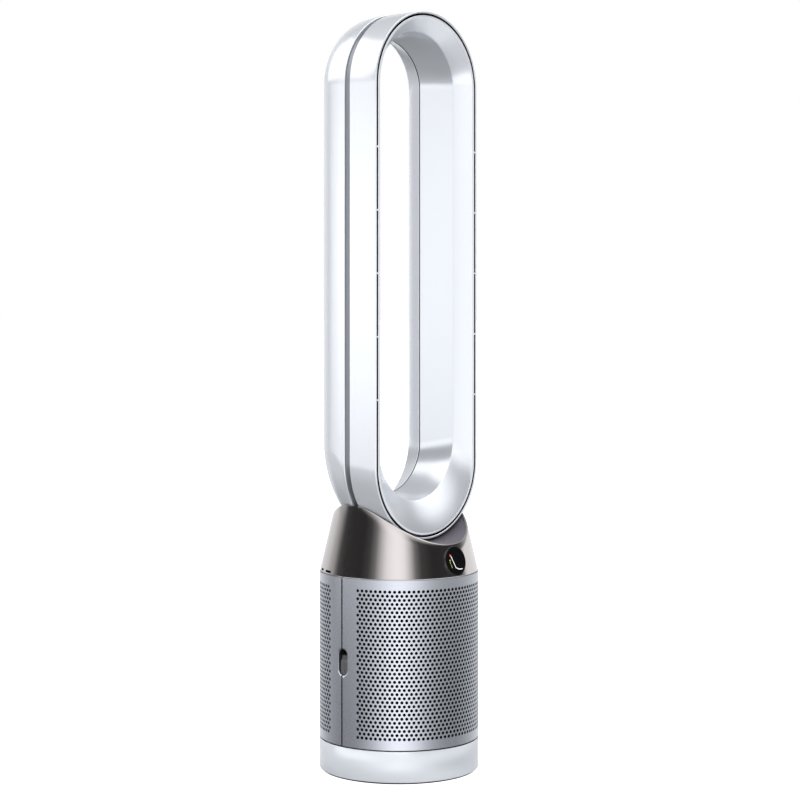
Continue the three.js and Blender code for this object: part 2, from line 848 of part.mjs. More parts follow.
function diffuser() {
  const top = diffuserBottom + diffuserHeight;
  const hubInner = motorRadius + seatGap;
  const rimOuter = bucketRadius - bucketWall - seatGap;
  const hub = turned(tubeProfile(hubInner, hubInner + diffuserRing, diffuserBottom, top), smallSteps);
  const rim = turned(tubeProfile(rimOuter - diffuserRing, rimOuter, diffuserBottom, top), midSteps);
  const vanes = Array.from({ length: diffuserVanes }, (_, i) => blade({
    inner: () => hubInner + diffuserRing / 2,
    outer: () => rimOuter - diffuserRing / 2,
    bottom: diffuserBottom + vaneMargin,
    top: top - vaneMargin,
    sweep: vaneSweep,
    thickness: bladeThickness,
    start: 2 * Math.PI * i / diffuserVanes,
  }));
  return join(hub, rim, ...vanes);
}

// ------------------------------------------------------------------ conical housing

function coneRadius(height) {
  return coneFoot - coneTaper * (height - coneBottom);
}

/** The height of the cradle-shaped rim at a bearing: high at the sides, lower behind, lowest in front. */
function rimHeight(bearing) {
  const angle = THREE.MathUtils.degToRad(bearing);
  const ends = rimFront + saddleRear / 2;
  const sides = rimFront + saddleRise;
  return (ends + sides) / 2 - saddleWaist
    - (sides - ends) / 2 * Math.cos(2 * angle)
    + saddleWaist * Math.cos(4 * angle)
    - saddleRear / 2 * Math.cos(angle);
}

function upperHousing() {
  const skirtOuter = columnRadius;
  const skirtBottom = upperDeckTop + seatGap;
  const shell = loft(Array.from({ length: roundSteps }, (_, i) => {
    const bearing = 360 * i / roundSteps;
    const top = rimHeight(bearing);
    return [
      [coneFoot, coneBottom],
      [coneRadius(top - rimChamfer), top - rimChamfer],
      [coneRadius(top) - rimChamfer, top],
      [coneRadius(top) - coneWall, top],
      [coneFoot - coneWall, coneBottom + coneWall],
      [skirtOuter - coneWall, coneBottom],
      [skirtOuter - coneWall, skirtBottom],
      [skirtOuter, skirtBottom],
      [skirtOuter, coneBottom],
    ].map(([radius, height]) => atBearing(radius, bearing, height));
  }), { ring: true });
  const slotBottom = ventHeight - ventSlot / 2;
  const slots = ventBearings.map(([from, to]) => arc(
    tubeProfile(coneFoot - 3 * coneWall, bodyRadius + 1, slotBottom, slotBottom + ventSlot),
    from,
    to,
    4,
  ));
  const displayHole = displayRod(displayRadius + seatGap, -2 * bezelDepth, bezelDepth);
  return cut(shell, loopBlock(seatGap), displayHole, ...slots);
}

/** A cylinder square to the cone at the display; depths run outwards from the cone's face. */
function displayRod(radius, from, to) {
  const shape = new THREE.CylinderGeometry(radius, radius, to - from, midSteps);
  shape.translate(0, (from + to) / 2, 0);
  shape.rotateX(Math.PI - displayTilt);
  return closed(shape.translate(0, -coneRadius(displayHeight), displayHeight));
}

/** The whole cone inside a given clearance, without its hollow. */
function coneBlock(inset) {
  const top = rimFront + saddleRise;
  return turned([
    [0, coneBottom - skirtHeight],
    [coneRadius(coneBottom - skirtHeight) - inset, coneBottom - skirtHeight],
    [coneRadius(top) - inset, top],
    [0, top],
  ]);
}

function displayBezel() {
  return cut(
    displayRod(displayRadius, -bezelDepth, bezelProud),
    displayRod(displayRadius - bezelWidth, -2 * bezelDepth, bezelDepth),
  );
}

function displayLens() {
  const radius = displayRadius - bezelWidth - seatGap;
  return displayRod(radius, bezelProud - lensThickness, bezelProud);
}

function displayBoard() {
  const radius = displayRadius - bezelWidth - seatGap;
  const front = bezelProud - lensThickness - lensTravel - turnGap;
  return displayRod(radius, front - boardThickness, front);
}

/** The cradle's outline across the fan, so that a straight cut along Y meets the cone at its rim. */
function cradlePoints() {
  const halfWidth = coneRadius(rimFront + saddleRise) - coneWall - linerEdge;
  const steps = 180;
  const curve = [];
  for (let i = 0; i <= steps; i++) {
    const bearing = 90 * i / steps;
    const height = rimHeight(bearing);
    curve.push([coneRadius(height) * Math.sin(THREE.MathUtils.degToRad(bearing)), height]);
  }
  const heightAt = (x) => {
    const next = curve.findIndex(([reach]) => reach >= x);
    const [[x0, z0], [x1, z1]] = [curve[Math.max(0, next - 1)], curve[Math.max(1, next)]];
    return z0 + (z1 - z0) * (x - x0) / (x1 - x0);
  };
  const points = [];
  const half = 7;
  for (let i = -half; i <= half; i++) {
    const x = halfWidth * Math.sin(Math.PI / 2 * i / half);
    points.push([x, heightAt(Math.abs(x)) - seatGap]);
  }
  return points;
}

function saddleLiner() {
  const top = cradlePoints();
  const under = top.map(([x, z]) => [x, z - linerThickness]).reverse();
  const length = 2 * bodyRadius;
  const slab = prism([...top, ...under], length).translate(0, 0, -length / 2).rotateX(Math.PI / 2);
  const inside = common(slab, coneBlock(coneWall + seatGap));
  return cut(inside, loopBlock(seatGap), neckBlock(seatGap));
}

function mainBoard() {
  return circuitBoard({
    width: mainBoardWidth,
    depth: mainBoardDepth,
    parts: [[6, 8, 14, 14, 4], [28, 6, 22, 20, 9], [56, 10, 12, 12, 6]],
  });
}

function sensorModule() {
  const outer = coneRadius(coneBottom + sensorHeight) - coneWall - turnGap;
  const bottom = upperDeckTop + seatGap;
  const body = box(
    [-sensorWidth / 2, sensorWidth / 2],
    [-outer, -outer + sensorDepth],
    [bottom, bottom + sensorHeight],
  );
  const inside = turned([
    [0, bottom - 1],
    [columnRadius - coneWall - seatGap, bottom - 1],
    [columnRadius - coneWall - seatGap, coneBottom],
    [outer, coneBottom + sensorHeight],
    [0, coneBottom + sensorHeight],
  ]);
  return common(body, inside).rotateZ(THREE.MathUtils.degToRad(sensorBearing));
}

// ------------------------------------------------------------------ neck and flap

function neckSize(height) {
  const bottom = upperDeckTop + seatGap;
  const share = THREE.MathUtils.smoothstep(height, bottom, neckTop);
  return [
    THREE.MathUtils.lerp(neckRadius, neckTopHalfWidth, share),
    THREE.MathUtils.lerp(neckRadius, neckTopHalfDepth, share),
  ];
}

function neckOutline(height, offset) {
  const [reachX, reachY] = neckSize(height).map((half) => half + offset);
  return Array.from({ length: midSteps }, (_, i) => {
    const angle = 2 * Math.PI * i / midSteps;
    return new THREE.Vector3(reachX * Math.cos(angle), reachY * Math.sin(angle), height);
  });
}

function neckHeights() {
  const bottom = upperDeckTop + seatGap;
  const steps = 4;
  return Array.from({ length: steps + 1 }, (_, i) => bottom + (neckTop - bottom) * i / steps);
}

/** The neck's outside with a clearance, for cutting the pieces that it passes through. */
function neckBlock(clearance) {
  return loft(neckHeights().map((height) => neckOutline(height, clearance)));
}

function loopNeck() {
  const outside = neckHeights().map((height) => neckOutline(height, 0));
  const inside = neckHeights().map((height) => neckOutline(height, -neckWall)).reverse();
  const duct = loft([...outside, ...inside], { ring: true });
  const bottom = upperDeckTop + seatGap;
  const flange = turned(
    tubeProfile(neckRadius - neckWall / 2, neckRadius + neckFlange, bottom, bottom + flangeThickness),
    midSteps,
  );
  const reach = neckTopHalfWidth + neckWall;
  const pinHole = rodAlong('x', flapPinRadius + seatGap, -reach, reach, 0, flapHeight);
  return cut(join(duct, flange), pinHole);
}

/** The flap at rest stands upright in the neck and turns on a pin along X. */
function airflowFlap() {
  const [halfWidth] = neckSize(flapHeight);
  const plate = box(
    [-flapHalfLength, flapHalfLength],
    [-flapThickness / 2, flapThickness / 2],
    [flapHeight - flapChord / 2, flapHeight + flapChord / 2],
  );
  const pin = rodAlong('x', flapPinRadius, -halfWidth, halfWidth + flapMotorLength / 2, 0, flapHeight);
  return join(plate, pin);
}

function flapMotor() {
  const [halfWidth] = neckSize(flapHeight);
  const [face] = neckSize(flapHeight + flapMotorWidth / 2);
  const start = Math.max(face, halfWidth) + seatGap;
  const body = box(
    [start, start + flapMotorLength],
    [-flapMotorWidth / 2, flapMotorWidth / 2],
    [flapHeight - flapMotorWidth / 2, flapHeight + flapMotorWidth / 2],
  );
  const boreEnd = halfWidth + flapMotorLength / 2 + seatGap;
  const bore = rodAlong('x', flapPinRadius + seatGap, start - 1, boreEnd, 0, flapHeight);
  return cut(body, bore);
}

// ------------------------------------------------------------------ air loop

/**
 * One closed outline of the loop in a plane square to Y. side, top and bottom are how far it lies
 * inside the loop's outer face there, and the shifts move the centres of its two round ends.
 */
function loopOutline({ y, side, top = side, bottom = side, topShift = 0, bottomShift = 0 }) {
  const halfWidth = loopHalfWidth - side;
  const highCentre = loopTopCentre + topShift;
  const lowCentre = loopBottomCentre + bottomShift;
  const rise = fanHeight - top - highCentre;
  const drop = lowCentre - loopBottom - bottom;
  const points = [];
  for (let i = 0; i <= loopArcSteps; i++) {
    const angle = Math.PI * i / loopArcSteps;
    points.push(new THREE.Vector3(halfWidth * Math.cos(angle), y, highCentre + rise * Math.sin(angle)));
  }
  for (let i = 0; i <= loopArcSteps; i++) {
    const angle = Math.PI * (1 + i / loopArcSteps);
    points.push(new THREE.Vector3(halfWidth * Math.cos(angle), y, lowCentre + drop * Math.sin(angle)));
  }
  return points;
}

/** The outer face of the loop, from front to rear; the foot is drawn in towards the rear. */
function outerStations() {
  const seamStation = { side: 0.8, bottom: 0, bottomShift: 4.5 };
  return [
    { y: loopFront, side: rimBevel },
    { y: loopFront + rimBevel, side: 0 },
    { y: bandFront, ...seamStation },
    { y: bandRear, ...seamStation },
    { y: bandRear + bandLap + seatGap, ...seamStation },
    { y: loopRear - 41, side: 1.2, bottom: 0.5, bottomShift: 14 },
    { y: loopRear - 23, side: 3.6, bottom: 4, bottomShift: 26 },
    { y: loopRear - 11, side: 8, bottom: 12, bottomShift: 31 },
    { y: loopRear - 3, side: 13.5, bottom: 23, bottomShift: 31 },
    { y: loopRear, side: 17, bottom: 31, bottomShift: 31 },
  ];
}

/** The same station further in (or out, for a clearance). */
function inset(station, depth) {
  const { side, top = side, bottom = side } = station;
  return { ...station, side: side + depth, top: top + depth, bottom: bottom + depth };
}

/** The loop's outside as a full block, for cutting the pieces that it stands in. */
function loopBlock(clearance) {
  const stations = outerStations().map((station) => inset(station, -clearance));
  stations[0].y -= clearance;
  stations[stations.length - 1].y += clearance;
  return loft(stations.map(loopOutline));
}

const throat = { y: throatY, side: 26.7, top: 27.3, bottom: 52.4, bottomShift: 34.1 };
const innerSeam = { y: innerSeamY, side: 23.6, top: 29.9, bottom: 54.6, topShift: 5.7, bottomShift: 20.4 };
const rearLip = { y: loopRear - 3, side: 18.5, top: 21, bottom: 37, topShift: 3, bottomShift: 29 };

function loopFrontShell() {
  const stations = outerStations();
  const slotFloor = loopFront + slotDepth;
  const shell = loft([
    stations[0],
    stations[1],
    stations[2],
    inset(stations[2], loopWall),
    { y: slotFloor, side: loopWall },
    { y: slotFloor, side: rimWidth },
    { y: loopFront, side: rimWidth },
  ].map(loopOutline), { ring: true });
  return cut(shell, neckBlock(seatGap));
}

function loopInnerWall() {
  const slotInner = rimWidth + slotWidth;
  const ringInner = slotInner + frontRingWidth;
  const slotFloor = loopFront + slotDepth;
  const skin = loft([
    { y: loopFront, side: slotInner },
    { y: loopFront, side: ringInner },
    throat,
    innerSeam,
    inset(innerSeam, -loopWall),
    { ...inset(throat, -loopWall), y: throatY + loopWall / 2 },
    { y: loopFront + 1.5 * loopWall, side: ringInner - loopWall / 2 },
    { y: slotFloor, side: slotInner + loopWall / 2 },
    { y: slotFloor, side: slotInner },
  ].map(loopOutline), { ring: true });
  return join(skin, ...slotWebs(slotInner));
}

/** The small bridges that stand in the air slot on both straight sides. */
function slotWebs(slotInner) {
  const highest = loopTopCentre - webTopMargin;
  const lowest = loopBottomCentre + webFootMargin;
  const spacing = (highest - lowest) / (webCount - 1);
  const heights = Array.from({ length: webCount }, (_, i) => lowest + spacing * i);
  const [near, far] = [loopHalfWidth - slotInner - loopWall / 4, loopHalfWidth - rimWidth - seatGap];
  const depths = [loopFront + 0.5, loopFront + slotDepth - 2];
  return heights.flatMap((height) => [[near, far], [-far, -near]].map((xs) => box(
    xs,
    depths,
    [height - webHeight / 2, height + webHeight / 2],
  )));
}

function loopRearShell() {
  const outside = outerStations().slice(3);
  const inside = outside.slice(0, -1).map((station) => inset(station, loopWall)).reverse();
  const seam = { ...innerSeam, y: innerSeamY + seatGap };
  const shell = loft([
    ...outside,
    rearLip,
    seam,
    inset({ ...seam, y: innerSeamY + loopWall }, -loopWall),
    ...inside.map((station) => ({ ...station, y: Math.min(station.y, loopRear - 3 - loopWall) })),
  ].map(loopOutline), { ring: true });
  return cut(shell, neckBlock(seatGap));
}

/** The recessed band in the groove between the two outer shells. */
function loopGrooveBand() {
  const station = outerStations()[2];
  const under = loopWall + seatGap;
  const [front, rear] = [bandFront - bandLap, bandRear + bandLap];
  const band = loft([
    { ...inset(station, under), y: front },
    { ...inset(station, under), y: rear },
    { ...inset(station, under + loopWall), y: rear },
    { ...inset(station, under + loopWall), y: front },
  ].map(loopOutline), { ring: true });
  return cut(band, neckBlock(seatGap));
}

// ------------------------------------------------------------------ finishes

function finish(color, roughness, metalness = 0) {
  return new THREE.MeshStandardMaterial({ color, roughness, metalness });
}

const finishes = {
  white: finish(0xf2f4f7, 0.25),
  nickel: finish(0x6d6763, 0.3, 0.9),
  silver: finish(0xb9bfc6, 0.35, 0.8),
  grey: finish(0x9a9fa5, 0.45),
  dark: finish(0x2b2d30, 0.55),
  glass: finish(0x08090a, 0.08),
  steel: finish(0x8f9296, 0.3, 1),
  board: finish(0x1f5a3a, 0.5),
  paper: finish(0xf0efe9, 0.9),
  carbon: finish(0x1c1c1e, 0.95),
  rubber: finish(0x232325, 0.85),
  violet: finish(0x4b3f78, 0.5),
};

// ------------------------------------------------------------------ assembly

const fan = new THREE.Group();

function add(name, geometry, material, parent = fan) {
  const mesh = new THREE.Mesh(closed(geometry), material);
  mesh.name = name;
  parent.add(mesh);
  return mesh;
}

function addBase() {
  add('foot_ring', footRing(), finishes.rubber);
  add('base_plate', basePlate(), finishes.dark);
  add('base_ring', baseRing(), finishes.white);
  add('base_deck', baseDeck(), finishes.grey);
  add('glide_ring', glideRing(), finishes.grey);
  add('hub_bush', hubBush(), finishes.grey);
  add('swivel_motor', swivelMotor(), finishes.steel);
  const powerPlace = [powerBoardInset - bodyRadius, -powerBoardDepth / 2, basePlateTop + seatGap];
  add('power_board', powerBoard(), finishes.board).position.set(...powerPlace);
  add('cord_gland', cordGland(), finishes.rubber);
  legPlaces().forEach((place, i) => add(`base_screw_${i + 1}`, baseScrew(place), finishes.steel));
  add('swivel_pinion', swivelPinion(), finishes.grey).position.set(0, gearSpacing, 0);
}

function addColumn() {
  add('turntable', turntable(), finishes.grey);
  add('hub_gear', hubGear(), finishes.grey);
  add('hub_retainer', hubRetainer(), finishes.steel);
  for (const [name, side] of [['left', -1], ['right', 1]]) {
    add(`side_post_${name}`, sidePost(side), finishes.grey);
    add(`release_button_${name}`, releaseButton(side), finishes.silver);
    add(`button_spring_${name}`, buttonSpring(side), finishes.steel);
  }
  add('upper_deck', upperDeck(), finishes.grey);
}

function addShroudsAndFilters() {
  for (const [name, turn] of [['front', 0], ['rear', Math.PI]]) {
    const half = new THREE.Group();
    half.rotation.z = turn;
    fan.add(half);
    add(`shroud_${name}`, shroud(), finishes.silver, half);
    add(`filter_frame_${name}`, filterFrame(), finishes.violet, half);
    add(`filter_pleats_${name}`, filterPleats(), finishes.paper, half);
    add(`carbon_layer_${name}`, carbonLayer(), finishes.carbon, half);
  }
}

function addAirMover() {
  add('bucket_gasket', bucketGasket(), finishes.rubber);
  add('motor_bucket', motorBucket(), finishes.grey);
  add('inlet_bellmouth', inletBellmouth(), finishes.grey);
  add('motor_housing', motorHousing(), finishes.steel);
  add('diffuser', diffuser(), finishes.grey);
  add('motor_shaft', motorShaft(), finishes.steel);
  add('impeller', impeller(), finishes.dark);
}

function addHousing() {
  add('upper_housing', upperHousing(), finishes.nickel);
  add('saddle_liner', saddleLiner(), finishes.nickel);
  add('display_bezel', displayBezel(), finishes.grey);
  add('display_lens', displayLens(), finishes.glass);
  add('display_board', displayBoard(), finishes.board);
  const boardPlace = [-mainBoardWidth / 2, neckRadius + neckFlange + mainBoardGap, upperDeckTop + seatGap];
  add('main_board', mainBoard(), finishes.board).position.set(...boardPlace);
  add('sensor_module', sensorModule(), finishes.dark);
  add('loop_neck', loopNeck(), finishes.grey);
  add('airflow_flap', airflowFlap(), finishes.grey);
  add('flap_motor', flapMotor(), finishes.dark);
}

function addLoop() {
  add('loop_front_shell', loopFrontShell(), finishes.white);
  add('loop_inner_wall', loopInnerWall(), finishes.white);
  add('loop_rear_shell', loopRearShell(), finishes.white);
  add('loop_groove_band', loopGrooveBand(), finishes.silver);
}

addBase();
addColumn();
addShroudsAndFilters();
addAirMover();
addHousing();
addLoop();

export default fan;
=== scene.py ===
"""Looks of a bladeless tower fan: smooth shells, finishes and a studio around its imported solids.

Metres, +Z up, origin on the floor under the column's axis, front towards -Y.
"""

import json
import logging
import math
from collections.abc import Callable, Sequence
from dataclasses import astuple, dataclass, replace
from enum import Enum

import bmesh
import bpy
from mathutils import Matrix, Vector

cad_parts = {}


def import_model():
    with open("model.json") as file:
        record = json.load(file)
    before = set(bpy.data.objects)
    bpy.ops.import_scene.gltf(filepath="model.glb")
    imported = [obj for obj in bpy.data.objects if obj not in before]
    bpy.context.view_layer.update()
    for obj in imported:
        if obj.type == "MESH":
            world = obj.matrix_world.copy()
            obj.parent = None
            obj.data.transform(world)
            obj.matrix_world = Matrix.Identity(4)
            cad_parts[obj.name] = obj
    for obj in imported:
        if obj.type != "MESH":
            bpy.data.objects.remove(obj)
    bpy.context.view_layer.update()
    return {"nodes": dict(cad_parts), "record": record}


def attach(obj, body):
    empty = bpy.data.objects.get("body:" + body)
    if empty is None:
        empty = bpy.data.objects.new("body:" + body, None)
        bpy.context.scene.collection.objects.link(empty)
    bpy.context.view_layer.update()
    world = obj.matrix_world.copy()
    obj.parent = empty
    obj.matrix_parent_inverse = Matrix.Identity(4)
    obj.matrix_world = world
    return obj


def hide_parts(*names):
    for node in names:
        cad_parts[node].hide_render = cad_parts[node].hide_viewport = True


LOG = logging.getLogger("fan")
MM = 0.001
FULL_TURN = 2 * math.pi

Colour = tuple[float, float, float]
Profile = Sequence[tuple[float, float]]
Stops = Sequence[tuple[float, float]]


# ---------------------------------------------------------------- finishes


class Relief(Enum):
    """The fine texture that a finish carries."""

    MOULDED = "moulded"
    BRUSHED = "brushed"
    PEARL = "pearl"
    FIBRE = "fibre"
    GRAINS = "grains"


@dataclass(frozen=True)
class Finish:
    """One surface finish, with its texture at real scale.

    Attributes:
        name: Name of the material.
        colour: Linear base colour.
        roughness: Mean roughness.
        metallic: 0 for plastic, 1 for bare metal.
        relief: The kind of fine texture.
        spacing: Size of the texture's features, in millimetres.
        depth: Height of the texture, in millimetres.
        tint: How much the texture lightens and darkens the colour.
        coat: Weight of a clear coat.
        glow: Strength of the light that it gives off, in its own colour.
    """

    name: str
    colour: Colour
    roughness: float
    metallic: float = 0.0
    relief: Relief = Relief.MOULDED
    spacing: float = 0.8
    depth: float = 0.01
    tint: float = 0.04
    coat: float = 0.0
    glow: float = 0.0

    def material(self) -> bpy.types.Material:
        """Builds the material once, and returns it again after that."""
        found = bpy.data.materials.get(self.name)
        if found:
            return found
        made = bpy.data.materials.new(self.name)
        made.use_nodes = True
        nodes, links = made.node_tree.nodes, made.node_tree.links
        shader = nodes["Principled BSDF"]
        shader.inputs["Metallic"].default_value = self.metallic
        shader.inputs["Coat Weight"].default_value = self.coat
        shader.inputs["Coat Roughness"].default_value = 0.06
        shader.inputs["Emission Color"].default_value = (*self.colour, 1)
        shader.inputs["Emission Strength"].default_value = self.glow
        place = nodes.new("ShaderNodeTexCoord")
        texture = nodes.new("ShaderNodeGroup")
        texture.node_tree = relief_group(self.relief)
        texture.inputs["Scale"].default_value = 1 / (self.spacing * MM)
        texture.inputs["Tint"].default_value = self.tint
        texture.inputs["Colour"].default_value = (*self.colour, 1)
        texture.inputs["Roughness"].default_value = self.roughness
        bump = nodes.new("ShaderNodeBump")
        bump.inputs["Distance"].default_value = self.depth * MM
        bump.inputs["Strength"].default_value = 1.0
        links.new(place.outputs["Object"], texture.inputs["Place"])
        links.new(texture.outputs["Colour"], shader.inputs["Base Color"])
        links.new(texture.outputs["Roughness"], shader.inputs["Roughness"])
        links.new(texture.outputs["Height"], bump.inputs["Height"])
        links.new(bump.outputs["Normal"], shader.inputs["Normal"])
        return made


def math_value(tree: bpy.types.NodeTree, operation: str,
               *terms: bpy.types.NodeSocket | float) -> bpy.types.NodeSocket:
    """Adds a Math node.

    Args:
        tree: The nodes to add to.
        operation: What the node works out.
        terms: Its inputs, each a socket to read or a number.

    Returns:
        The node's result.
    """
    node = tree.nodes.new("ShaderNodeMath")
    node.operation = operation
    for socket, term in zip(node.inputs, terms):
        if isinstance(term, bpy.types.NodeSocket):
            tree.links.new(term, socket)
        else:
            socket.default_value = term
    return node.outputs[0]


def group_socket(tree: bpy.types.NodeTree, name: str, kind: str, direction: str) -> None:
    """Adds one named socket to a node group."""
    tree.interface.new_socket(name=name, in_out=direction, socket_type=f"NodeSocket{kind}")


def relief_pattern(tree: bpy.types.NodeTree, relief: Relief, place: bpy.types.NodeSocket,
                   scale: bpy.types.NodeSocket) -> bpy.types.NodeSocket:
    """Adds the nodes that draw one kind of texture.

    Args:
        tree: The node group to add to.
        relief: The kind of texture.
        place: Socket with the position on the piece.
        scale: Socket with the features per metre.

    Returns:
        A socket whose value runs from about 0 to 1.
    """
    nodes, links = tree.nodes, tree.links
    if relief is Relief.GRAINS:
        cells = nodes.new("ShaderNodeTexVoronoi")
        links.new(place, cells.inputs["Vector"])
        links.new(scale, cells.inputs["Scale"])
        return cells.outputs["Distance"]
    noise = nodes.new("ShaderNodeTexNoise")
    noise.inputs["Detail"].default_value = 4.0
    noise.inputs["Roughness"].default_value = 0.6
    links.new(scale, noise.inputs["Scale"])
    if relief in (Relief.BRUSHED, Relief.FIBRE):
        stretch = nodes.new("ShaderNodeMapping")
        along = (0.02, 0.02, 1.0) if relief is Relief.BRUSHED else (1.0, 1.0, 0.12)
        stretch.inputs["Scale"].default_value = along
        links.new(place, stretch.inputs["Vector"])
        links.new(stretch.outputs["Vector"], noise.inputs["Vector"])
    else:
        links.new(place, noise.inputs["Vector"])
    return noise.outputs["Fac"]


def relief_group(relief: Relief) -> bpy.types.NodeTree:
    """Node group that turns a place into a colour, a roughness and a height for one kind of texture."""
    name = f"{relief.value}_surface"
    found = bpy.data.node_groups.get(name)
    if found:
        return found
    tree = bpy.data.node_groups.new(name, "ShaderNodeTree")
    for socket, kind in (("Place", "Vector"), ("Scale", "Float"), ("Tint", "Float"),
                         ("Colour", "Color"), ("Roughness", "Float")):
        group_socket(tree, socket, kind, "INPUT")
    for socket, kind in (("Colour", "Color"), ("Roughness", "Float"), ("Height", "Float")):
        group_socket(tree, socket, kind, "OUTPUT")
    nodes, links = tree.nodes, tree.links
    given, result = nodes.new("NodeGroupInput"), nodes.new("NodeGroupOutput")
    pattern = relief_pattern(tree, relief, given.outputs["Place"], given.outputs["Scale"])
    drift = nodes.new("ShaderNodeTexNoise")
    drift.inputs["Scale"].default_value = 9.0
    links.new(given.outputs["Place"], drift.inputs["Vector"])
    both = math_value(tree, "ADD", pattern, drift.outputs["Fac"])
    centred = math_value(tree, "SUBTRACT", both, 1.0)
    swing = math_value(tree, "MULTIPLY_ADD", centred, given.outputs["Tint"], 1.0)
    shade = nodes.new("ShaderNodeVectorMath")
    shade.operation = "SCALE"
    links.new(given.outputs["Colour"], shade.inputs[0])
    links.new(swing, shade.inputs["Scale"])
    rough = math_value(tree, "MULTIPLY", given.outputs["Roughness"], swing)
    links.new(shade.outputs[0], result.inputs["Colour"])
    links.new(rough, result.inputs["Roughness"])
    links.new(pattern, result.inputs["Height"])
    return tree


@dataclass(frozen=True)
class Palette:
    """The fan's finishes. A solid takes the one that has the name of its material slot."""

    white: Finish = Finish("pearl_white_lacquer", (0.86, 0.88, 0.915), 0.22, 0.5, spacing=0.5,
                           depth=0.001, tint=0.01)
    base_white: Finish = Finish("gloss_white_plastic", (0.80, 0.82, 0.86), 0.2, 0.2, spacing=0.5,
                                depth=0.001, tint=0.01)
    nickel: Finish = Finish("brushed_warm_nickel", (0.665, 0.62, 0.605), 0.1, 1.0, Relief.BRUSHED, 0.3,
                            0.0004, 0.05)
    silver: Finish = Finish("satin_silver_paint", (0.585, 0.605, 0.66), 0.2, 0.97, Relief.PEARL, 0.25,
                            0.0008, 0.03)
    rim: Finish = Finish("shaded_nickel_edge", (0.30, 0.28, 0.27), 0.3, 1.0, Relief.BRUSHED, 0.3,
                         0.0004, 0.05)
    liner: Finish = Finish("matt_mauve_nickel", (0.20, 0.185, 0.21), 0.5, 0.6, spacing=0.5, depth=0.001)
    grey: Finish = Finish("moulded_grey_plastic", (0.12, 0.12, 0.125), 0.4, 0.3, spacing=0.6, depth=0.006)
    # Black plastic, also put as painted shade on the faces in slots, seams and gaps.
    dark: Finish = Finish("black_plastic_and_painted_shade", (0.012, 0.013, 0.015), 0.5, spacing=0.6, depth=0.006)
    bezel: Finish = Finish("dark_nickel_ring", (0.11, 0.105, 0.10), 0.2, 1.0, Relief.BRUSHED, 0.3,
                           0.0008, 0.05)
    glass: Finish = Finish("black_display_glass", (0.004, 0.004, 0.005), 0.12, spacing=3.0, depth=0.0,
                           tint=0.02)
    steel: Finish = Finish("turned_steel", (0.56, 0.57, 0.59), 0.28, 1.0, Relief.BRUSHED, 0.3, 0.002, 0.08)
    board: Finish = Finish("green_circuit_board", (0.02, 0.11, 0.05), 0.4, relief=Relief.GRAINS, spacing=2.5,
                           depth=0.03, tint=0.5)
    paper: Finish = Finish("pleated_filter_paper", (0.02, 0.021, 0.024), 0.9, relief=Relief.FIBRE,
                           spacing=0.5, depth=0.05, tint=0.3)
    carbon: Finish = Finish("activated_carbon", (0.012, 0.012, 0.013), 0.8, relief=Relief.GRAINS, spacing=1.2,
                            depth=0.4, tint=0.6)
    rubber: Finish = Finish("black_rubber", (0.012, 0.012, 0.013), 0.75, spacing=0.4, depth=0.01, tint=0.15)
    violet: Finish = Finish("violet_filter_frame", (0.10, 0.075, 0.24), 0.45, spacing=0.6, depth=0.006)
    band: Finish = Finish("grey_groove_band", (0.28, 0.295, 0.315), 0.32, 0.85, spacing=0.6, depth=0.001)
    graph_line: Finish = Finish("display_white_line", (0.9, 0.9, 0.86), 0.5, spacing=1.0, depth=0.0,
                                tint=0.02, glow=0.6)
    graph_red: Finish = Finish("display_red_mark", (0.8, 0.06, 0.02), 0.5, spacing=1.0, depth=0.0,
                               tint=0.02, glow=0.6)
    graph_green: Finish = Finish("display_green_mark", (0.55, 0.62, 0.12), 0.5, spacing=1.0, depth=0.0,
                                 tint=0.02, glow=0.5)


PALETTE = Palette()


# ---------------------------------------------------------------- modelling by hand


def make_active(piece: bpy.types.Object) -> None:
    """Makes a piece the active and only selected object, in object mode."""
    if bpy.context.object and bpy.context.object.mode != "OBJECT":
        bpy.ops.object.mode_set(mode="OBJECT")
    bpy.ops.object.select_all(action="DESELECT")
    bpy.context.view_layer.objects.active = piece
    piece.select_set(True)


def start_piece(name: str) -> bpy.types.Object:
    """Makes an empty mesh object at the origin and enters edit mode with nothing else selected."""
    piece = bpy.data.objects.new(name, bpy.data.meshes.new(name))
    bpy.context.scene.collection.objects.link(piece)
    make_active(piece)
    bpy.ops.object.mode_set(mode="EDIT")
    return piece


def end_piece(piece: bpy.types.Object, angle: float = 30.0) -> bpy.types.Object:
    """Merges doubles, turns the faces out, leaves edit mode and shades the piece smooth.

    Args:
        piece: The object in edit mode.
        angle: Edges sharper than this many degrees stay sharp.

    Returns:
        The same object.
    """
    bpy.ops.mesh.select_all(action="SELECT")
    bpy.ops.mesh.remove_doubles(threshold=1e-6)
    bpy.ops.mesh.normals_make_consistent(inside=False)
    bpy.ops.object.mode_set(mode="OBJECT")
    bpy.ops.object.shade_smooth_by_angle(angle=math.radians(angle))
    return piece


def reopen(piece: bpy.types.Object) -> None:
    """Makes a piece the only selected one and enters edit mode."""
    make_active(piece)
    bpy.ops.object.mode_set(mode="EDIT")


def pick(piece: bpy.types.Object, wanted: Callable[[Vector], bool], among: set[int] | None = None) -> None:
    """Selects the vertices that lie where they are wanted, and nothing else.

    Args:
        piece: The object in edit mode.
        wanted: Says of a vertex's place whether it is selected.
        among: Indexes to choose from, or None for all.
    """
    shape = bmesh.from_edit_mesh(piece.data)
    shape.select_mode = {"VERT"}
    for vertex in shape.verts:
        vertex.select_set((among is None or vertex.index in among) and wanted(vertex.co))
    shape.select_flush_mode()
    bmesh.update_edit_mesh(piece.data)


def selected(piece: bpy.types.Object) -> set[int]:
    """The indexes of the selected vertices of the object in edit mode."""
    shape = bmesh.from_edit_mesh(piece.data)
    shape.verts.index_update()
    return {vertex.index for vertex in shape.verts if vertex.select}


